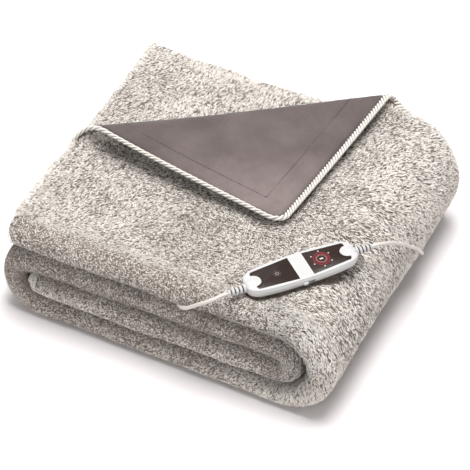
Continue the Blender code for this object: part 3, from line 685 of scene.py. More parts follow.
def hidden_rope(material):
    """The same rope inside the folds, along the front edge and up the right one, as one plain round."""
    corner_u, corner_v = CLOTH_LENGTH - CORNER_RADIUS, CLOTH_WIDTH - CORNER_RADIUS
    turn = np.linspace(*HIDDEN_TURN, HIDDEN_CORNER_POINTS)
    u = np.concatenate((
        np.linspace(HIDDEN_START, corner_u, HIDDEN_FRONT_POINTS),
        corner_u + CORNER_RADIUS * np.sin(turn),
        np.full(HIDDEN_END_POINTS, CLOTH_LENGTH),
    ))
    v = np.concatenate((
        np.full(HIDDEN_FRONT_POINTS, CLOTH_WIDTH),
        corner_v + CORNER_RADIUS * np.cos(turn),
        np.linspace(corner_v, HIDDEN_END, HIDDEN_END_POINTS),
    ))
    step_u, step_v = np.gradient(u), np.gradient(v)
    size = np.hypot(step_u, step_v)
    rings = []
    for across, up in circle(0.0, 0.0, ROPE_RADIUS, HIDDEN_SIDES):
        out = ROPE_RADIUS + CLEAR + across
        rings.append(place(u - step_v / size * out, v + step_u / size * out, ROPE_LEVEL + up))
    points = np.stack(rings, 1).reshape(-1, 3)
    made = mesh_piece("rope_edging_hidden", points, tube_faces(len(u), HIDDEN_SIDES), material)
    # Painted shade: one low rise darkens all of this rope, as the folds shade it.
    return point_values(made, "rise", np.full(len(points), HIDDEN_ROPE_SHADE))


# ---------------------------------------------------------------- the pile

TUFT_LENGTH, TUFT_HALF_WIDTH, ROOT_DEPTH = 0.0054, 0.00047, 0.0004
TUFT_LEAN, TUFT_CURL, TUFT_BEND_AT = radians(24.0), radians(18.0), 0.45
# How much one tuft differs from the next: angle and roll in radians, and shares of the plain values.
ANGLE_SPREAD, ROLL_SPREAD = 0.42, 0.8
LENGTH_SPREAD, LEAN_SPREAD, WIDTH_SPREAD = (0.65, 1.25), (0.45, 1.45), (0.7, 1.35)
LONGEST_TUFT = 2.2 * TUFT_LENGTH
# Painted shade: the pile is darker towards each tuft's root, by how near its tip each corner is.
TUFT_REACHES = (0.0, 0.55, 1.0, 0.55)  # how near its tip each corner of a tuft is
PILE_TURNS, PILE_SWIRLS = Waves(0.110, 31), Waves(0.030, 32)
PILE_ANGLE, PILE_TURN_REACH, PILE_SWIRL_REACH = radians(-18.0), radians(48.0), radians(30.0)
TONE_WAVES = ((0.10, Waves(0.022, 33)), (0.08, Waves(0.080, 34)), (0.25, Waves(0.0026, 35)))
LOWEST_PILE = 0.0004
SHORTER_IN_FRONT, FINER_IN_FRONT, LONGER_AT_EDGE = 0.48, 0.28, 0.20
# Painted shade on the pile: how much it darkens in the hollow in front of the handset, in the creases and in
# the inner nook.
LONG_PILE_FADE, HOLLOW_SHADE = 0.12, 0.26
CREASE_FROM, CREASE_SHADE, FRONT_TONE = -0.05, 0.36, 0.07
NOOK_SHARE, NOOK_FADE = 0.75, 0.030
FRONT_PILE_REACH, FRONT_PILE_FADE = 0.034, 0.012
EDGE_LAP, OUTWARD_SHARE = 0.009, 1.4
EDGE_DROOP, EDGE_CURL = 0.6, 150.0  # how steeply the pile bends down past the cloth's edge
UNDER_FOLD_REACH = 0.015
UNDER_HANDSET, HOUSING_INSET = -0.012, 0.97


def in_front(v):
    """How near the cloth's place is to the middle of a rounded front, from 0 to 1."""
    middle = OVERHANG + ROW_RUN + FRONT_BEND / 2
    return unit((FRONT_PILE_REACH - np.abs(v - middle)) / FRONT_PILE_FADE)


def fine_front(u, v):
    """The same, and fading round the right end, where the pile stays as long as on top."""
    off = np.abs(u - TOP_RUN - OUTER_BEND / 2) - OUTER_BEND / 2
    return in_front(v) * unit(off / LONG_PILE_FADE)


def creased(u, v):
    """How deep in the creases under and inside the bands a place of a rounded front lies, from 0 to 1, which
    sets the painted shade of the pile there.
    """
    _, _, course = SPIRAL.at(u)
    _, height = row_point(u, v, np.zeros_like(u))
    covered = np.where(u > TOP_RUN + OUTER_BEND / 2, height * np.cos(course), -LAYER)
    inside = -height * np.abs(np.sin(course))
    deep = unit((np.maximum(covered, inside) / LAYER - CREASE_FROM) / (1 - CREASE_FROM))
    from_nook = np.abs(u - CLOTH_LENGTH + TONGUE_RUN + INNER_BEND / 2) - INNER_BEND / 2
    return in_front(v) * np.maximum(eased(deep), NOOK_SHARE * unit(1 - from_nook / NOOK_FADE))


def laps_edge(u, v):
    """Whether pile stands so near the left edge, in front of the turned corner, that it laps the rope."""
    return (u < EDGE_LAP) & (v > PRESSED_FROM)


def shows(u, v):
    """Leaves out the innermost layer's pile, but for what the turned corner uncovers."""
    inner = v - (CLOTH_WIDTH - HIDDEN_RUN)
    _, beyond = fold_coordinates(TOP_END_X + u, BACK_BEND_Y - inner)
    return (inner <= 0) | (beyond > -UNDER_FOLD_REACH)


def under_handset(points):
    """Whether points lie in the housing, or just under it."""
    turn = np.array(HANDSET_FRAME.inverted())
    x, y, z = np.moveaxis(points @ turn[:3, :3].T + turn[:3, 3], -1, 0)
    half = np.interp(np.abs(x), *np.array(HOUSING_STATIONS)[:, :2].T)
    in_plan = (np.abs(x) < HANDSET_END) & (np.abs(y) < half * HOUSING_INSET)
    return in_plan & (z < HANDSET_TOP) & (z > UNDER_HANDSET)


def tufts(name, patches, count, seed, material):
    """Leaf-shaped tufts of pile over patches of the cloth: (u from, u to, v from, v to, weight)."""
    draw = np.random.default_rng(seed)
    areas = np.array([(u1 - u0) * (v1 - v0) * weight for u0, u1, v0, v1, weight in patches])
    shares = np.round(count * areas / areas.sum()).astype(int)
    roots = [
        np.stack((draw.uniform(u0, u1, n), draw.uniform(v0, v1, n)), -1)
        for (u0, u1, v0, v1, _), n in zip(patches, shares)
    ]
    u, v = rounded(*np.concatenate(roots).T)
    n, front, fine, lapping = len(u), in_front(v), fine_front(u, v), laps_edge(u, v)
    angle = PILE_ANGLE + PILE_TURN_REACH * PILE_TURNS.at(u, v) + PILE_SWIRL_REACH * PILE_SWIRLS.at(u, v)
    outward_share = unit(OUTWARD_SHARE - u / EDGE_LAP) * (1 - front)
    angle = np.where(lapping & (draw.uniform(0.0, 1.0, n) < outward_share), pi, angle)
    angle = np.where(u > CLOTH_LENGTH - EDGE_LAP, 0.0, angle) + draw.normal(0.0, ANGLE_SPREAD, n)
    length = TUFT_LENGTH * draw.uniform(*LENGTH_SPREAD, n)
    length = length * (1 - SHORTER_IN_FRONT * fine + LONGER_AT_EDGE * lapping * (1 - front))
    lean = TUFT_LEAN * draw.uniform(*LEAN_SPREAD, n)
    half = TUFT_HALF_WIDTH * draw.uniform(*WIDTH_SPREAD, n) * (1 - FINER_IN_FRONT * fine)
    roll = draw.uniform(-ROLL_SPREAD, ROLL_SPREAD, n)
    way_u, way_v = np.cos(angle), np.sin(angle)
    bend, run, rise = TUFT_BEND_AT * length, length * np.cos(lean), length * np.sin(lean)
    bend_run, bend_rise = bend * np.cos(lean), bend * np.sin(lean + TUFT_CURL)
    root = np.stack((u, v, plush_top(u, v) - ROOT_DEPTH))
    side = np.stack((-way_v * half * np.cos(roll), way_u * half * np.cos(roll), half * np.sin(roll)))
    middle = root + np.stack((way_u * bend_run, way_v * bend_run, bend_rise))
    tip = root + np.stack((way_u * run, way_v * run, rise))
    corner_u, corner_v, corner_w = np.stack((root, middle + side, tip, middle - side), -1)
    past = np.maximum(np.maximum(-corner_u, corner_u - CLOTH_LENGTH), 0.0)
    points = place(corner_u, corner_v, corner_w - (EDGE_DROOP * past + EDGE_CURL * past * past))
    points[..., 2] = np.maximum(points[..., 2], LOWEST_PILE)
    kept = np.linalg.norm(points[:, 2] - points[:, 0], axis=1) < LONGEST_TUFT
    kept &= ~under_handset(points).any(axis=1) & shows(u, v)
    tone = draw.uniform(0.0, 1.0, n) + sum(weight * waves.at(u, v) for weight, waves in TONE_WAVES)
    tone = (tone + FRONT_TONE * front)[kept]
    # Painted shade: the pile darkened in the creases between the bands and in the hollow in front of the
    # handset.
    shade = 1 - (CREASE_SHADE * creased(u, v) + HOLLOW_SHADE * hollow(u, v))[kept]
    points = points[kept].reshape(-1, 3)
    index = np.arange(len(points)).reshape(-1, 4)
    made = mesh_piece(name, points, np.concatenate((index[:, [0, 1, 3]], index[:, [1, 2, 3]])), material)
    point_values(made, "reach", np.tile(TUFT_REACHES, len(index)))
    point_values(made, "shade", np.repeat(shade, 4))
    return point_values(made, "tone", np.repeat(tone, 4))


# ---------------------------------------------------------------- the handset

HANDSET_X, HANDSET_Y = 0.3922, 0.0872
HANDSET_TURN, HANDSET_TILT = radians(51.5), radians(1.0)
HANDSET_END, HANDSET_TOP = 0.076, 0.0145
# Along half of the housing: distance from its middle, half width, underside and top.
HOUSING_STATIONS = (
    (0.000, 0.0246, 0.0000, 0.0145),
    (0.030, 0.0238, 0.0000, 0.0145),
    (0.048, 0.0222, 0.0000, 0.0145),
    (0.064, 0.0196, 0.0003, 0.0145),
    (0.071, 0.0152, 0.0010, 0.0141),
    (0.0745, 0.0110, 0.0022, 0.0131),
    (0.076, 0.0078, 0.0034, 0.0117),
)
CREST = swollen(np.array((RIGHT_BEND_X, FRONT_BEND_Y, HEIGHT - LAYER / 2 + HALF_SHEET + FLOOR_DROP)))[2]
HANDSET_REST = CREST + CLEAR + (RIGHT_BEND_X - HANDSET_X) * tan(HANDSET_TILT)
HANDSET_FRAME = (
    Matrix.Translation(world(HANDSET_X, HANDSET_Y, HANDSET_REST))
    @ Matrix.Rotation(HANDSET_TILT, 4, "Y")
    @ Matrix.Rotation(HANDSET_TURN, 4, "Z")
)
# Half of the section across it, as shares of its half width and its height.
SECTION_SHARES = (
    (0.0, 0.0), (0.72, 0.0), (0.93, 0.28), (1.0, 0.56), (0.965, 0.82), (0.90, 0.96), (0.835, 1.0), (0.0, 1.0),
)
SECTION_RISING = 20  # how many of its points come before its level shoulder
PARTING_LEVEL, PARTING_DEPTH, PARTING_HALF = 0.36, 0.00045, 0.022
LOBE_X, LOBE_LENGTH, LOBE_HALF, LOBE_RISE = 0.0662, 0.0106, 0.0078, 0.0013
LOBE_ROOT, LOBE_ROUNDING, LOBE_RINGS, LOBE_SIDES = 0.0035, 0.8, 8, 28
PANEL_INNER, PANEL_OUTER = 0.0100, 0.0650
PANEL_INNER_HALF, PANEL_OUTER_HALF = 0.0194, 0.0150
NOTCH_DEPTH, NOTCH_HALF, NOTCH_STEPS = 0.0100, 0.0094, 20
PANEL_CORNER_LENGTH, PANEL_CORNER_WIDTH, PANEL_CORNER_TURN = 0.0030, 0.0050, 1.35
PANEL_ROOM, PANEL_SINK, PANEL_BEVEL = 0.00025, 0.0011, 0.00025
SLIDER_X, SLIDER_LENGTH, SLIDER_TRAVEL = -0.0040, 0.0070, 0.0100
SLIDER_HEIGHT, SLIDER_LEVEL, SLIDER_CORNER = 0.0042, 0.0076, 0.0016
SLIDER_FRONT_Y, SLOT_FLOOR_Y = -0.0262, -0.0205
# The dark plate at the slot's far end is painted shade: its thickness and its length.
SLOT_PLATE, SLOT_SHADE_LENGTH = 0.0002, 0.0034
SLOT_PAST, RECESS_PAST = 0.003, 0.004  # how far the cutters reach out of the housing
HAIR = 0.0001  # keeps two faces from lying in one plane
SHARP = 40  # degrees between faces that meet at an edge


def in_frame(made, matrix):
    """Moves a piece's mesh from a local frame to the part's own."""
    made.data.transform(matrix)
    return made


def loose_mesh(name, points, faces):
    """A shape that isn't a piece of its own, such as a cutter."""
    mesh = bpy.data.meshes.new(name)
    mesh.from_pydata(points, [], faces)
    return outward(link(name, mesh))


def boolean(target, cutter, operation="DIFFERENCE"):
    """Cuts or joins a shape for good, and deletes the cutter."""
    modifier = target.modifiers.new("cut", "BOOLEAN")
    modifier.operation = operation
    modifier.object = cutter
    evaluated = target.evaluated_get(bpy.context.evaluated_depsgraph_get())
    mesh = bpy.data.meshes.new_from_object(evaluated)
    target.modifiers.clear()
    old, target.data = target.data, mesh
    bpy.data.meshes.remove(old)
    bpy.data.objects.remove(cutter)


def bevel(body):
    edges = [e for e in body.edges if len(e.link_faces) == 2 and e.calc_face_angle() > radians(SHARP)]
    bmesh.ops.bevel(body, geom=edges, offset=PANEL_BEVEL, segments=2, affect="EDGES", profile=0.6)


def housing_section(half, low, high):
    """The closed section across the housing, with the line where its two shells meet."""
    shares = curved(SECTION_SHARES, 5)
    y, level = shares[:, 0] * half, unit(shares[:, 1])
    rising = level[:SECTION_RISING]
    where = np.searchsorted(rising, PARTING_LEVEL)
    at = np.interp(PARTING_LEVEL, rising, y[:SECTION_RISING])
    y = np.insert(y, where, (at, at - PARTING_DEPTH, at))[1:-1]
    level = np.insert(level, where, [PARTING_LEVEL + step for step in (-PARTING_HALF, 0.0, PARTING_HALF)])
    z = (low + (high - low) * level)[1:-1]
    return np.concatenate((np.stack((y, z), -1), np.stack((-y[::-1], z[::-1]), -1)))


def panel_outline(side, grow):
    """A front panel's outline, round at its outer corners and notched for the housing's lobe."""
    inner, outer = PANEL_INNER - grow, PANEL_OUTER + grow
    inner_half, outer_half = PANEL_INNER_HALF + grow, PANEL_OUTER_HALF + grow
    corner = [
        (outer - PANEL_CORNER_LENGTH * (1 - sin(turn)), outer_half - PANEL_CORNER_WIDTH * (1 - cos(turn)))
        for turn in np.linspace(0.0, PANEL_CORNER_TURN, 6)
    ]
    points = [(inner, -inner_half)] + [(x, -y) for x, y in corner]
    for x, y in arc(0.0, 0.0, 1.0, 0.0, pi, NOTCH_STEPS):
        points.append((outer - (NOTCH_DEPTH - grow) * y, -(NOTCH_HALF - grow) * x))
    points += corner[::-1] + [(inner, inner_half)]
    return [(side * x, y) for x, y in points]


def lobe(side):
    """The raised oval where a strain relief enters the housing."""
    rings = []
    for k in range(LOBE_RINGS):
        lift = pi / 2 * k / LOBE_RINGS
        length, half = LOBE_LENGTH * cos(lift), LOBE_HALF * cos(lift)
        outline = [(side * LOBE_X + length * x, half * y) for x, y in circle(0.0, 0.0, 1.0, LOBE_SIDES)]
        rise = (LOBE_RISE + LOBE_ROOT) * sin(lift) ** LOBE_ROUNDING
        rings.append((HANDSET_TOP - LOBE_ROOT + rise, outline))
    points, faces = raised(*rings)
    top = len(points) - LOBE_SIDES
    faces = faces[:-1] + [(top + j, top + (j + 1) % LOBE_SIDES, len(points)) for j in range(LOBE_SIDES)]
    return loose_mesh("lobe", points + [(side * LOBE_X, 0.0, HANDSET_TOP + LOBE_RISE)], faces)


def slot_cutter():
    half = SLIDER_HEIGHT / 2 + CLEAR
    start = SLIDER_X - SLIDER_LENGTH / 2 - CLEAR + half
    end = SLIDER_X + SLIDER_LENGTH / 2 + SLIDER_TRAVEL + CLEAR - half
    outline = arc(end, SLIDER_LEVEL, half, -pi / 2, pi / 2, 8)
    outline += arc(start, SLIDER_LEVEL, half, pi / 2, 3 * pi / 2, 8)
    return loose_mesh("slot", *sideways(prism(outline, SLIDER_FRONT_Y - SLOT_PAST, SLOT_FLOOR_Y)))


def housing(material):
    """The white shell, with its lobes, panel recesses and switch slot."""
    half = curved(HOUSING_STATIONS, 7)
    half[:, 1] = np.minimum(half[:, 1], HOUSING_STATIONS[0][1])
    half[:, 2] = np.maximum(half[:, 2], 0.0)
    half[:, 3] = np.minimum(half[:, 3], HANDSET_TOP)
    rows = np.concatenate((half[:0:-1] * (-1, 1, 1, 1), half))
    sections = [housing_section(*row[1:]) for row in rows]
    points = [(row[0], y, z) for row, section in zip(rows, sections) for y, z in section]
    made = outward(mesh_piece("handset_shell", points, tube_faces(len(rows), len(sections[0])), material))
    for side in (-1, 1):
        boolean(made, lobe(side), "UNION")
    for side in (-1, 1):
        recess = prism(panel_outline(side, PANEL_ROOM), HANDSET_TOP - PANEL_SINK, HANDSET_TOP + RECESS_PAST)
        boolean(made, loose_mesh("recess", *recess))
    boolean(made, slot_cutter())
    smooth_shade(made.data, 32)
    in_frame(made, HANDSET_FRAME)
    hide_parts("handset_housing")


def slot_shade_plate(material):
    """A dark plate at the far end of the switch's slot, painted shade for the shadow at the slot's deep end.
    """
    end = SLIDER_X + SLIDER_LENGTH / 2 + SLIDER_TRAVEL
    outline = box(end - SLOT_SHADE_LENGTH, end, SLIDER_LEVEL - SLIDER_HEIGHT / 2, SLIDER_LEVEL + SLIDER_HEIGHT / 2)
    shape = sideways(prism(outline, SLOT_FLOOR_Y - SLOT_PLATE, SLOT_FLOOR_Y - SLOT_PLATE / 4))
    made = outward(mesh_piece("slot_shade_plate", *shape, material))
    in_frame(made, HANDSET_FRAME)


def panels(material):
    for side, word in ((-1, "left"), (1, "right")):
        shape = prism(panel_outline(side, 0.0), HANDSET_TOP - PANEL_SINK + HAIR, HANDSET_TOP - HAIR)
        made = edited(outward(mesh_piece("handset_window_" + word, *shape, material)), bevel)
        smooth_shade(made.data, 35)
        in_frame(made, HANDSET_FRAME)
        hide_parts("handset_panel_" + word)


PRINT_LEVEL, PRINT_HEIGHT = HANDSET_TOP - HAIR, 0.00006
POWER_X, POWER_Y, POWER_RADIUS, POWER_LINE = -0.0326, 0.0002, 0.0052, 0.0006
POWER_MARK_RADIUS, POWER_BAR_START, POWER_BAR_LENGTH = 0.0025, 0.0006, 0.0024
POWER_GAP = radians(38.0)
LEVEL_X, LEVEL_Y = 0.0294, 0.0010
LEVEL_INNER, LEVEL_LINE = 0.0064, 0.0005
RING_NEAR, RING_FAR, RING_LINE = 0.0081, 0.0108, 0.0006
STEP_MARK = 0.0044
LAMPS, LAMP_RING, LAMP_RADIUS, LAMP_START = 6, 0.0134, 0.0009, radians(84.0)
BAND_ROWS, BAND_COLUMNS = 14, 7
BAND_PITCH, BAND_DOT, BAND_DOT_HEIGHT = 0.0024, 0.00085, 0.00028


def arc_band(x, y, inner, outer, start, end, count):
    """A flat ring or part of one: points and faces."""
    pairs = zip(arc(x, y, inner, start, end, count), arc(x, y, outer, start, end, count))
    levels = PRINT_LEVEL, PRINT_LEVEL + PRINT_HEIGHT
    points = [(*spot, level) for pair in pairs for level in levels for spot in pair]
    faces = [(0, 2, 3, 1), (4 * count, 4 * count + 1, 4 * count + 3, 4 * count + 2)]
    for a in range(0, 4 * count, 4):
        b = a + 4
        faces += [(a, a + 1, b + 1, b), (a + 2, b + 2, b + 3, a + 3)]
        faces += [(a + 1, a + 3, b + 3, b + 1), (a, b, b + 2, a + 2)]
    return points, faces


def ring(x, y, inner, outer, count=48):
    return arc_band(x, y, inner, outer, 0.0, 2 * pi, count)


def printed(outline):
    return prism(outline, PRINT_LEVEL, PRINT_LEVEL + PRINT_HEIGHT)


def joined(name, shapes, material):
    """Several small shapes as one piece on the handset."""
    return in_frame(outward(mesh_piece(name, *merged(shapes), material, 30)), HANDSET_FRAME)


def printed_marks(dim, grey, red, dark_red, pink, light):
    """The power mark, the level ring with its lamps, and the step mark in its middle."""
    joined("power_ring", [ring(POWER_X, POWER_Y, POWER_RADIUS - POWER_LINE, POWER_RADIUS, 40)], dim)
    start, end, half = pi / 2 + POWER_GAP, 5 * pi / 2 - POWER_GAP, POWER_LINE / 2
    base, top = POWER_Y + POWER_BAR_START, POWER_Y + POWER_BAR_START + POWER_BAR_LENGTH
    joined("power_mark", [
        arc_band(POWER_X, POWER_Y, POWER_MARK_RADIUS - POWER_LINE, POWER_MARK_RADIUS, start, end, 22),
        printed(box(POWER_X - half, POWER_X + half, base, top)),
    ], grey)
    joined("level_outline", [ring(LEVEL_X, LEVEL_Y, LEVEL_INNER - LEVEL_LINE, LEVEL_INNER)], pink)
    half, quarter = STEP_MARK / 2, STEP_MARK / 4
    step = box(LEVEL_X - half, LEVEL_X + half, LEVEL_Y - quarter, LEVEL_Y + quarter)
    joined("level_step", [printed(step)], light)
    rings = [ring(LEVEL_X, LEVEL_Y, radius - RING_LINE, radius) for radius in (RING_NEAR, RING_FAR)]
    joined("level_rings", rings, red)
    joined("level_field", [ring(LEVEL_X, LEVEL_Y, RING_NEAR, RING_FAR - RING_LINE)], dark_red)
    places = arc(LEVEL_X, LEVEL_Y, LAMP_RING, LAMP_START, LAMP_START + 2 * pi, LAMPS)[:-1]
    joined("level_lamps", [printed(circle(x, y, LAMP_RADIUS, 16)) for x, y in places], light)


def centre_grip(material):
    """Low pips over the white band between the panels."""
    pips = []
    for row in range(BAND_ROWS):
        for column in range(BAND_COLUMNS):
            x = (column - (BAND_COLUMNS - 1) / 2) * BAND_PITCH
            y = (row - (BAND_ROWS - 1) / 2) * BAND_PITCH
            root = HANDSET_TOP - HAIR, circle(x, y, BAND_DOT, 6)
            pips.append(raised(root, (HANDSET_TOP + BAND_DOT_HEIGHT, circle(x, y, BAND_DOT / 2, 6))))
    joined("handset_grip_pips", pips, material)


def slider_knob(material):
    """The switch's knob, a rounded block with a soft front, on the sliding body."""
    half_x, half_z = SLIDER_LENGTH / 2, SLIDER_HEIGHT / 2
    outline = round_box(-half_x, half_x, -half_z, half_z, SLIDER_CORNER, 4)
    depths = (SLOT_FLOOR_Y - CLEAR - SLIDER_FRONT_Y, 1.0), (0.0012, 1.0), (0.0004, 0.9), (0.0, 0.7)
    rings = []
    for depth, share in depths:
        drawn_in = [(SLIDER_X + share * x, SLIDER_LEVEL + share * z) for x, z in outline]
        rings.append((SLIDER_FRONT_Y + depth, drawn_in))
    made = outward(mesh_piece("switch_knob", *sideways(raised(*rings)), material, SHARP, body="slider"))
    in_frame(made, HANDSET_FRAME)
    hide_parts("switch_slider")


RELIEF_LENGTH, RELIEF_START_RADIUS, RELIEF_END_RADIUS = 0.0240, 0.0061, 0.0039
RELIEF_LEVEL, RELIEF_SIDES, RELIEF_RIBS = 0.0073, 28, 5
RELIEF_GAP, RELIEF_GROOVE = 0.0017, 0.0026


def ribbed(count, pitch, rib, radii, groove, soft, lag=0.0):
    """A boot's profile with ribs. radii: the first radius and the taper. soft: how each rib is rounded."""
    profile = []
    for k in range(count):
        start, end = k * pitch, k * pitch + rib
        first, last = (radii[0] + radii[1] * x for x in (start, end - lag))
        profile += [(start, first - soft[0]), (start + soft[0], first)]
        profile += [(end - soft[1], last), (end, last - soft[2])]
        profile += [(end + HAIR, last - groove), (start + pitch - HAIR, last - groove)]
    return profile[:-2]


def strain_reliefs(material):
    pitch = (RELIEF_LENGTH + RELIEF_GAP) / RELIEF_RIBS
    radii = RELIEF_START_RADIUS, (RELIEF_END_RADIUS - RELIEF_START_RADIUS) / RELIEF_LENGTH
    profile = ribbed(RELIEF_RIBS, pitch, pitch - RELIEF_GAP, radii, RELIEF_GROOVE, (0.0004, 0.0005, 0.0005))
    # Painted shade: the relief's colour is darkened where this is 0, in the gaps between its ribs.
    rises = (([1.0] * 4 + [0.0] * 2) * RELIEF_RIBS)[:-2]  # 0 in the gaps
    for side, word in ((-1, "left"), (1, "right")):
        points, faces = lathe(profile, RELIEF_SIDES)
        points = [(side * (HANDSET_END + CLEAR + x), y, RELIEF_LEVEL + z) for x, y, z in points]
        made = outward(mesh_piece("cord_boot_" + word, points, faces, material, 38))
        point_values(made, "rise", np.repeat(rises, RELIEF_SIDES))
        in_frame(made, HANDSET_FRAME)
        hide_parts("strain_relief_" + word)


# ---------------------------------------------------------------- the cords

CORD_RADIUS, CORD_CLEAR, CORD_STEP = 0.0025, 0.0004, 0.004
STRAIGHT_RUN = 0.009
LEAD_ROUTE = (
    (0.3172, -0.0064, 0.1644),
    (0.3072, -0.0108, 0.1588),
    (0.2960, -0.0114, 0.1494),
    (0.2860, -0.0100, 0.1396),
    (0.2772, -0.0066, 0.1306),
    (0.2700, -0.0014, 0.1238),
    (0.2625, 0.0052, 0.1184),
)
MAINS_ROUTE = (
    (0.4664, 0.1820, 0.1606),
    (0.4695, 0.1945, 0.1523),
    (0.4715, 0.2130, 0.1347),
    (0.4740, 0.2280, 0.1200),
    (0.4758, 0.2415, 0.1050),
    (0.4779, 0.2545, 0.0914),
    (0.4792, 0.2650, 0.0774),
    (0.4782, 0.2760, 0.0640),
    (0.4728, 0.2915, 0.0450),
    (0.4628, 0.3075, 0.0272),
    (0.4515, 0.3250, 0.0135),
    (0.4425, 0.3450, 0.0050),
    (0.4388, 0.3680, 0.0028),
    (0.4386, 0.3920, 0.0028),
    (0.4375, 0.4150, 0.0028),
    (0.4330, 0.4380, 0.0028),
)
COIL_X, COIL_Y = 0.395, 0.484
COIL_INNER, COIL_OUTER, COIL_HEIGHT = 0.0200, 0.0350, 0.0180
TIE_WIDTH, TIE_THICKNESS, TIE_TURN = 0.012, 0.001, radians(200.0)
COIL_FLOOR = TIE_THICKNESS + CLEAR
ENTRY_LENGTH, TAIL_START, TAIL_LEVEL = 0.0178, 0.0188, 0.0090
TAIL_ROUTE = ((0.3650, 0.5163, 0.0052), (0.3530, 0.5128, 0.0058))
PLUG_X, PLUG_Y, PLUG_LEVEL, PLUG_TURN = 0.3310, 0.5020, 0.00685, radians(207.0)
COIL_LAYER = 0.00433  # from one layer of turns to the next, which lies in its hollows
# The places of each layer's turns, in by three, out by two, and so on upward.
COIL_PLACES = ((0, 1, 2), (1.5, 0.5), (0, 1, 2), (1.5, 0.5))
COIL_POINTS, COIL_STEP = 28, 0.0050  # points for each turn, and the step between them in the end
COIL_SHIFT_FROM = 0.80  # the share of a turn after which it moves on to the next one's place
COIL_LAST_DROP = 0.0012


def coil_tangent(angle, distance, level=CORD_RADIUS + CLEAR):
    """A point on the line that leaves the coil's outer turn at this angle, heading anticlockwise."""
    radius = COIL_OUTER - CORD_RADIUS
    x = COIL_X + radius * cos(angle) - distance * sin(angle)
    y = COIL_Y + radius * sin(angle) + distance * cos(angle)
    return world(x, y, level)


def coil_turns():
    """The coil's turns, from angle 0 to a quarter past it."""
    outer = COIL_OUTER - CORD_RADIUS - HAIR
    rings = [(outer - 2 * CORD_RADIUS * place_in, COIL_FLOOR + CORD_RADIUS + layer * COIL_LAYER)
             for layer, places in enumerate(COIL_PLACES) for place_in in places]
    count = len(rings)
    rings.append((outer, rings[-1][1] - COIL_LAST_DROP))
    spots = []
    for k in range(count * COIL_POINTS + COIL_POINTS // 4 + 1):
        turn = k / COIL_POINTS
        at = min(int(turn), count - 1)
        share = eased(min(max((turn - at - COIL_SHIFT_FROM) / (1 - COIL_SHIFT_FROM), 0.0), 1.0))
        radius, level = (here + (there - here) * share for here, there in zip(rings[at], rings[at + 1]))
        x, y = COIL_X + radius * cos(2 * pi * turn), COIL_Y + radius * sin(2 * pi * turn)
        spots.append(world(x, y, level))
    return spots


def even_points(points, step=CORD_STEP):
    """Evenly spaced points on one smooth curve through these."""
    fine = curved(points, 8)
    reach = np.concatenate(((0.0,), np.cumsum(np.linalg.norm(np.diff(fine, axis=0), axis=1))))
    goals = np.linspace(0.0, reach[-1], max(2, round(reach[-1] / step)) + 1)
    return np.stack([np.interp(goals, reach, fine[:, k]) for k in range(3)], -1)


def cord_curve(name, points, material):
    curve = bpy.data.curves.new(name, "CURVE")
    curve.dimensions = "3D"
    curve.bevel_depth = CORD_RADIUS
    curve.bevel_resolution = 4
    curve.use_fill_caps = True
    spline = curve.splines.new("POLY")
    spline.points.add(len(points) - 1)
    for spot, point in zip(spline.points, points):
        spot.co = (*point, 1.0)
    curve.materials.append(material)
    made = link(name, curve)
    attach(made, "blanket")
    return made


def cords(material, plug_pieces):
    """The lead from the handset into the cloth, and the mains cord with its coil."""
    relief_end = HANDSET_END + CLEAR + RELIEF_LENGTH + CORD_CLEAR
    starts = {}
    for side in (-1, 1):
        reaches = relief_end, relief_end + STRAIGHT_RUN
        starts[side] = [HANDSET_FRAME @ Vector((side * reach, 0.0, RELIEF_LEVEL)) for reach in reaches]
    lead = even_points(starts[-1] + [world(*point) for point in LEAD_ROUTE])
    made = cord_curve("lead_cord_sheath", lead, material)
    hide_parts("lead_cord")
    run_in = starts[1] + [world(*point) for point in MAINS_ROUTE] + [coil_tangent(0.0, -ENTRY_LENGTH)]
    run_out = [coil_tangent(pi / 2, TAIL_START, TAIL_LEVEL)] + [world(*point) for point in TAIL_ROUTE]
    into_plug = Vector((cos(PLUG_TURN), sin(PLUG_TURN), 0.0))
    for distance in (CORD_CLEAR + STRAIGHT_RUN, CORD_CLEAR):
        run_out.append(world(PLUG_X, PLUG_Y, PLUG_LEVEL) - into_plug * distance)
    mains = np.concatenate((even_points(run_in), even_points(coil_turns(), COIL_STEP), even_points(run_out)))
    made = cord_curve("mains_cord_sheath", mains, material)
    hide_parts("mains_cord", "mains_coil", "mains_tail")


# Along the plug: distance from its sleeve, half width and half height.
PLUG_STATIONS = (
    (0.0000, 0.0068, 0.0058),
    (0.0030, 0.0086, 0.0066),
    (0.0140, 0.0112, 0.00685),
    (0.0240, 0.0130, 0.00685),
    (0.0340, 0.0130, 0.00685),
    (0.0350, 0.0124, 0.0062),
)
PLUG_SLEEVE_LENGTH, SLEEVE_RIBS, SLEEVE_PITCH, SLEEVE_RIB = 0.0200, 4, 0.0051, 0.0041
SLEEVE_RADII, SLEEVE_GROOVE, SLEEVE_SOFT = (0.0034, 0.11), 0.0008, (0.0003, 0.0003, 0.0004)
PLUG_SIDES, PLUG_SQUARENESS, PLUG_HALF_WIDTH = 40, 0.75, 0.0130
PIN_RADIUS, PIN_LENGTH, PIN_SPACING, PIN_SLEEVE = 0.0020, 0.0190, 0.0190, 0.0100
GRIP_START, GRIP_END, GRIP_PITCH, GRIP_DEPTH = 0.012, 0.027, 0.003, 0.0005


def plug_points():
    """Rings round the plug's body, with grip ridges along its sides."""
    points = []
    for distance, half_width, half_height in curved(PLUG_STATIONS, 4):
        wave = 0.5 - 0.5 * cos(2 * pi * (distance - GRIP_START) / GRIP_PITCH)
        ridge = GRIP_DEPTH * wave if GRIP_START < distance < GRIP_END else 0.0
        for c, s in circle(0.0, 0.0, 1.0, PLUG_SIDES):
            y = copysign(abs(c) ** PLUG_SQUARENESS, c) * (min(half_width, PLUG_HALF_WIDTH) - ridge)
            z = copysign(abs(s) ** PLUG_SQUARENESS, s) * min(half_height, PLUG_LEVEL)
            points.append((PLUG_SLEEVE_LENGTH + CLEAR + distance, y, z))
    return points


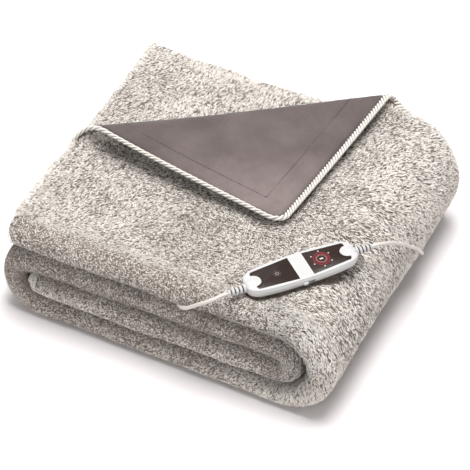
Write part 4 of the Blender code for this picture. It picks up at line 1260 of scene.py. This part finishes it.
def plug(rubber, metal):
    """The flat plug, its ribbed sleeve, and its two pins with their insulated roots."""
    sleeve = ribbed(SLEEVE_RIBS, SLEEVE_PITCH, SLEEVE_RIB, SLEEVE_RADII, SLEEVE_GROOVE, SLEEVE_SOFT, HAIR)
    made = [mesh_piece("plug_boot", *lathe(sleeve, 24), rubber, 38)]
    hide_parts("plug_sleeve")
    points = plug_points()
    faces = tube_faces(len(points) // PLUG_SIDES, PLUG_SIDES)
    made.append(mesh_piece("plug_body", points, faces, rubber, 45))
    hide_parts("mains_plug")
    face = PLUG_SLEEVE_LENGTH + CLEAR + PLUG_STATIONS[-1][0] + CLEAR
    pin = (
        (0.0, 0.93), (PIN_SLEEVE, 0.93), (PIN_SLEEVE + HAIR, 1.0), (PIN_LENGTH - 0.0022, 1.0),
        (PIN_LENGTH - 0.0007, 0.78), (PIN_LENGTH, 0.45),
    )
    root = (0.0, 1.02), (PIN_SLEEVE - 0.0003, 1.02), (PIN_SLEEVE, 0.95)
    for side, word in ((-1, "a"), (1, "b")):
        for name, profile, material in (("plug_prong_", pin, metal), ("prong_sleeve_", root, rubber)):
            points, faces = lathe([(x, PIN_RADIUS * share) for x, share in profile], 20)
            points = [(face + x, side * PIN_SPACING / 2 + y, z) for x, y, z in points]
            made.append(mesh_piece(name + word, points, faces, material, SHARP))
        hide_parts("plug_pin_" + word)
    plug_frame = Matrix.Translation(world(PLUG_X, PLUG_Y, PLUG_LEVEL)) @ Matrix.Rotation(PLUG_TURN, 4, "Z")
    for piece in made:
        in_frame(outward(piece), plug_frame)
    return made


TIE_ROOM, TIE_CORNER, TIE_ROWS = 0.0003, 0.0022, 9
TIE_INNER = 0.955 * COIL_INNER  # a little inside the coil's turns


def coil_tie(material):
    """The strap round the coil's turns, with round corners."""
    sides = TIE_INNER - TIE_ROOM, COIL_OUTER + TIE_ROOM, TIE_THICKNESS, COIL_FLOOR + COIL_HEIGHT + CLEAR
    inside = round_box(*sides, TIE_CORNER, 5)
    outside = round_box(*sides, TIE_CORNER, 5, TIE_THICKNESS - HAIR)
    rows = [TIE_WIDTH * (k / (TIE_ROWS - 1) - 0.5) for k in range(TIE_ROWS)]
    points = []
    for (near_x, near_z), (far_x, far_z) in zip(inside, outside):
        points += [(near_x, y, near_z) for y in rows] + [(far_x, y, far_z) for y in reversed(rows)]
    faces = tube_faces(len(inside), 2 * TIE_ROWS, closed=True)
    made = outward(mesh_piece("coil_strap", points, faces, material, SHARP))
    in_frame(made, Matrix.Translation(world(COIL_X, COIL_Y, 0.0)) @ Matrix.Rotation(TIE_TURN, 4, "Z"))
    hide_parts("coil_tie")
    return made


# ---------------------------------------------------------------- the finishes

def pile_material():
    """Mixed cream, brown and near-white pile, with painted shade towards its roots, in the creases between
    the bands and in the hollow in front of the handset.
    """
    m = Nodes("pile", Roughness=0.85, Sheen_Weight=0.25, Sheen_Roughness=0.5, Specular_IOR_Level=0.25)
    colour = m.ramp(
        m.attribute("tone"),
        (0.00, (0.14, 0.115, 0.10)), (0.09, (0.32, 0.275, 0.24)), (0.18, (0.66, 0.60, 0.545)),
        (0.45, (0.81, 0.755, 0.695)), (0.90, (0.92, 0.875, 0.825)),
    )
    # Painted shade: each tuft darker towards its root, for the shade deep in the pile.
    depth = m.ramp(m.attribute("reach"), (0.0, 0.42), (0.38, 0.90), (1.0, 1.0))
    # Painted shade in the creases and the hollow, from the tufts' shade attribute.
    shade = m.ramp(m.attribute("shade"), (0.0, 0.0), (1.0, 1.0))
    m.set(Base_Color=m.mix(colour, m.mix(depth, shade)))
    return m.material


def plush_material():
    """The knitted ground that the pile stands on."""
    m = Nodes("plush_ground", Roughness=0.95)
    vector = m.place()
    colour = m.ramp(m.noise(vector, 260.0, 3.0), (0.3, (0.10, 0.08, 0.068)), (0.7, (0.24, 0.20, 0.17)))
    m.set(Base_Color=colour)
    m.bump(m.noise(vector, 420.0), 0.0006)
    return m.material


def suede_material():
    """The lining's short brown suede, lighter and darker in soft random patches, times its painted light and
    shade.
    """
    m = Nodes("suede_nap", Roughness=0.9, Sheen_Weight=0.35, Sheen_Roughness=0.4, Specular_IOR_Level=0.2)
    vector = m.place()
    patches = m.noise(vector, 22.0, 4.0, 0.6)
    brushed = m.ramp(patches, (0.30, (0.196, 0.156, 0.149)), (0.72, (0.280, 0.226, 0.216)))
    fine = m.ramp(m.noise(vector, 900.0, 3.0, 0.7), (0.25, 0.72), (0.75, 1.12))
    # Painted light and shade, read from the lining's points.
    painted_light = m.ramp(m.attribute("painted_light"), (0.0, 0.0), (1.0, 1.0))
    m.set(Base_Color=m.mix(m.mix(brushed, fine), painted_light))
    m.bump(m.add(m.noise(vector, 800.0, 3.0, 0.7), m.noise(vector, 160.0)), 0.00035, 0.8)
    return m.material


def yarn_material(name, light, dark, groove_shade=()):
    """Soft spun yarn with fine fibres, with painted shade where its rise attribute is low, when shade stops
    are given.
    """
    m = Nodes(name, Roughness=0.8, Sheen_Weight=0.2)
    vector = m.place()
    colour = m.ramp(m.noise(vector, 700.0, 3.0, 0.65), (0.3, dark), (0.7, light))
    if groove_shade:
        colour = m.mix(colour, m.ramp(m.attribute("rise"), *groove_shade))
    m.set(Base_Color=colour)
    m.bump(m.noise(vector, 1500.0, 2.0, 0.6), 0.0002)
    return m.material


def plastic_material(name, colour, roughness, grain, worn=0.04, shine=0.5, groove_shade=()):
    """Moulded plastic with a fine eroded grain and slight handling marks, and painted shade where its rise
    attribute is low, when shade stops are given.
    """
    m = Nodes(name, Roughness=roughness, Specular_IOR_Level=shine)
    vector = m.place()
    marks = m.noise(vector, 60.0, 4.0, 0.6)
    tint = m.ramp(marks, (0.3, tuple(c * (1 - worn) for c in colour)), (0.7, colour))
    if groove_shade:
        tint = m.mix(tint, m.ramp(m.attribute("rise"), *groove_shade))
    m.set(Base_Color=tint, Roughness=m.ramp(marks, (0.3, roughness * 1.25), (0.7, roughness * 0.85)))
    m.bump(m.noise(vector, grain), 0.00006, 0.5)
    return m.material


def strap_material():
    """Dark woven tape."""
    m = Nodes("woven_strap", Roughness=0.75)
    vector = m.place(TIE_TURN)
    weave = m.node("ShaderNodeTexChecker", {"Vector": vector, "Scale": 1400.0}, "Fac")
    m.set(Base_Color=m.mix((0.014, 0.014, 0.015), (0.045, 0.044, 0.046), weave, "MIX"))
    m.bump(m.add(weave, m.noise(vector, 900.0)), 0.00012)
    return m.material


def metal_material():
    m = Nodes("bright_pin", Roughness=0.28, Metallic=1.0)
    marks = m.noise(m.place(), 420.0, 4.0, 0.6)
    colour = m.ramp(marks, (0.3, (0.62, 0.60, 0.56)), (0.7, (0.78, 0.76, 0.72)))
    m.set(Base_Color=colour, Roughness=m.ramp(marks, (0.3, 0.22), (0.75, 0.38)))
    return m.material


# ---------------------------------------------------------------- floor and light

FLOOR_SIDE, FLOOR_LEVEL = 14.0, -0.0002
WORLD_COLOUR, WORLD_STRENGTH = (1.0, 0.995, 0.99, 1.0), 0.04
# Each soft light: its name, the way it comes from, its power in watts.
LIGHT_SIDE, LIGHT_DISTANCE = 1.8, 3.2
LIGHTS = (
    ("overhead", (0.03, 0.06, 1.0), 150.0),
    ("right", (0.9, -0.1, 0.6), 14.0),
    ("back_left", (-0.6, 0.6, 0.8), 10.0),
    ("back_right", (0.5, 0.8, 0.8), 8.0),
    ("front_left", (-0.5, -0.7, 0.7), 14.0),
    ("front_right", (0.5, -0.7, 0.7), 7.0),
    ("low_front", (-0.35, -0.9, 0.22), 25.0),
)


def area_light(name, way, power):
    data = bpy.data.lights.new(name, "AREA")
    data.size = LIGHT_SIDE
    data.energy = power
    light = link(name, data)
    way = Vector(way).normalized()
    light.location = way * LIGHT_DISTANCE
    light.rotation_euler = way.to_track_quat("Z", "Y").to_euler()

def studio():
    """A white floor under soft light, most of it from above."""
    half = FLOOR_SIDE / 2
    mesh = bpy.data.meshes.new("floor")
    mesh.from_pydata([(x, y, FLOOR_LEVEL) for x, y in box(-half, half, -half, half)], [], [(0, 1, 2, 3)])
    white = Nodes("floor_white", Roughness=0.9, Base_Color=(0.86, 0.83, 0.83), Specular_IOR_Level=0.0)
    mesh.materials.append(white.material)
    link("floor", mesh)
    world_light = bpy.data.worlds.new("world")
    world_light.use_nodes = True
    background = world_light.node_tree.nodes["Background"].inputs
    background["Color"].default_value = WORLD_COLOUR
    background["Strength"].default_value = WORLD_STRENGTH
    bpy.context.scene.world = world_light
    for light in LIGHTS:
        area_light(*light)
    bpy.context.scene.view_settings.view_transform = "Standard"
    bpy.context.scene.view_settings.look = "None"


# ---------------------------------------------------------------- the whole thing

FUR_PIECES, TUFTS_EACH, FUR_SEED = 4, 88000, 100
FRONT_SHARE, BACK_REACH, LEFT_REACH = 0.016, 0.012, 0.030
UNCOVERED_U, UNCOVERED_V = 0.37, 0.29


def fur_patches():
    """Where the pile shows: (u from, u to, v from, v to, weight of tufts)."""
    top_front = OVERHANG + ROW_RUN
    under_front = top_front + FRONT_BEND
    under_back = under_front + ROW_RUN
    inner = CLOTH_WIDTH - HIDDEN_RUN
    front = top_front - FRONT_SHARE, under_front + FRONT_SHARE
    right_to = TOP_RUN + OUTER_BEND
    left_from = right_to + LONG_RUN
    return [
        (0.0, TOP_RUN, 0.0, top_front, 1.0),
        (0.0, EDGE_LAP, PRESSED_FROM, top_front, 2.4),
        (0.0, EDGE_LAP, inner, inner + UNCOVERED_V, 2.0),
        (TOP_RUN, right_to, 0.0, top_front, 0.9),
        (0.0, CLOTH_LENGTH, *front, 1.0),
        (CLOTH_LENGTH - EDGE_LAP, CLOTH_LENGTH, *front, 3.0),
        (0.0, CLOTH_LENGTH, under_back - FRONT_SHARE, under_back + BACK_BEND + BACK_REACH, 0.8),
        (right_to, CLOTH_LENGTH, 0.0, OVERHANG, 0.8),
        (left_from, left_from + LEFT_BEND, 0.0, top_front, 0.8),
        (right_to, left_from, OVERHANG, top_front, 0.12),
        (0.0, LEFT_REACH, under_front, under_back, 0.8),
        (0.0, UNCOVERED_U, inner, inner + UNCOVERED_V, 0.9),
    ]


MARKS = (
    ("mark_dim", (0.080, 0.062, 0.057)),
    ("mark_grey", (0.42, 0.38, 0.37)),
    ("mark_red", (0.36, 0.026, 0.038)),
    ("mark_dark_red", (0.055, 0.012, 0.014)),
    ("mark_pink", (0.52, 0.29, 0.26)),
    ("mark_light", (0.66, 0.58, 0.53)),
)

rubber = plastic_material("cord_cover", (0.620, 0.575, 0.540), 0.50, 1500.0)
white = plastic_material("shell_plastic", (0.545, 0.535, 0.532), 0.38, 2600.0, 0.02, shine=0.35)
# The reliefs' plastic carries painted shade in the gaps between their ribs.
strain_reliefs(plastic_material("relief_plastic", (0.530, 0.520, 0.517), 0.45, 2600.0, 0.02, shine=0.3,
                                groove_shade=((0.0, 0.10), (0.35, 0.30), (0.8, 1.0))))
cords(rubber, plug(rubber, metal_material()) + [coil_tie(strap_material())])

pile = pile_material()
patches = fur_patches()
fur = [tufts(f"plush_pile_{k + 1}", patches, TUFTS_EACH, FUR_SEED + k, pile) for k in range(FUR_PIECES)]
backing = plush_backing(plush_material())
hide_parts("plush_panel")

lining = suede_lining(suede_material())
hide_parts("lining_panel")
stitches = seam_stitches(yarn_material("seam_thread", (0.085, 0.066, 0.062), (0.05, 0.04, 0.037)))

# Painted shade for the rope: darker between its strands, and darker where it lies hidden in the folds.
groove_shade = (0.45, 0.40), (0.72, 0.74), (0.90, 1.0)
yarn = yarn_material("rope_yarn", (0.82, 0.78, 0.72), (0.64, 0.59, 0.53), groove_shade)
edging = rope_edging(yarn)
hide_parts("rope_edging")
for piece in (edging, hidden_rope(yarn)):
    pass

housing(white)
panels(plastic_material("smoked_panel", (0.032, 0.021, 0.018), 0.20, 3000.0, shine=0.22))
printed_marks(*(plastic_material(name, colour, 0.5, 2000.0, shine=0.2) for name, colour in MARKS))
# The slot's dark plate: painted shade.
slot_shade_plate(plastic_material("slot_painted_shade", (0.020, 0.020, 0.021), 0.6, 2000.0))
centre_grip(white)
slider_knob(white)
studio()
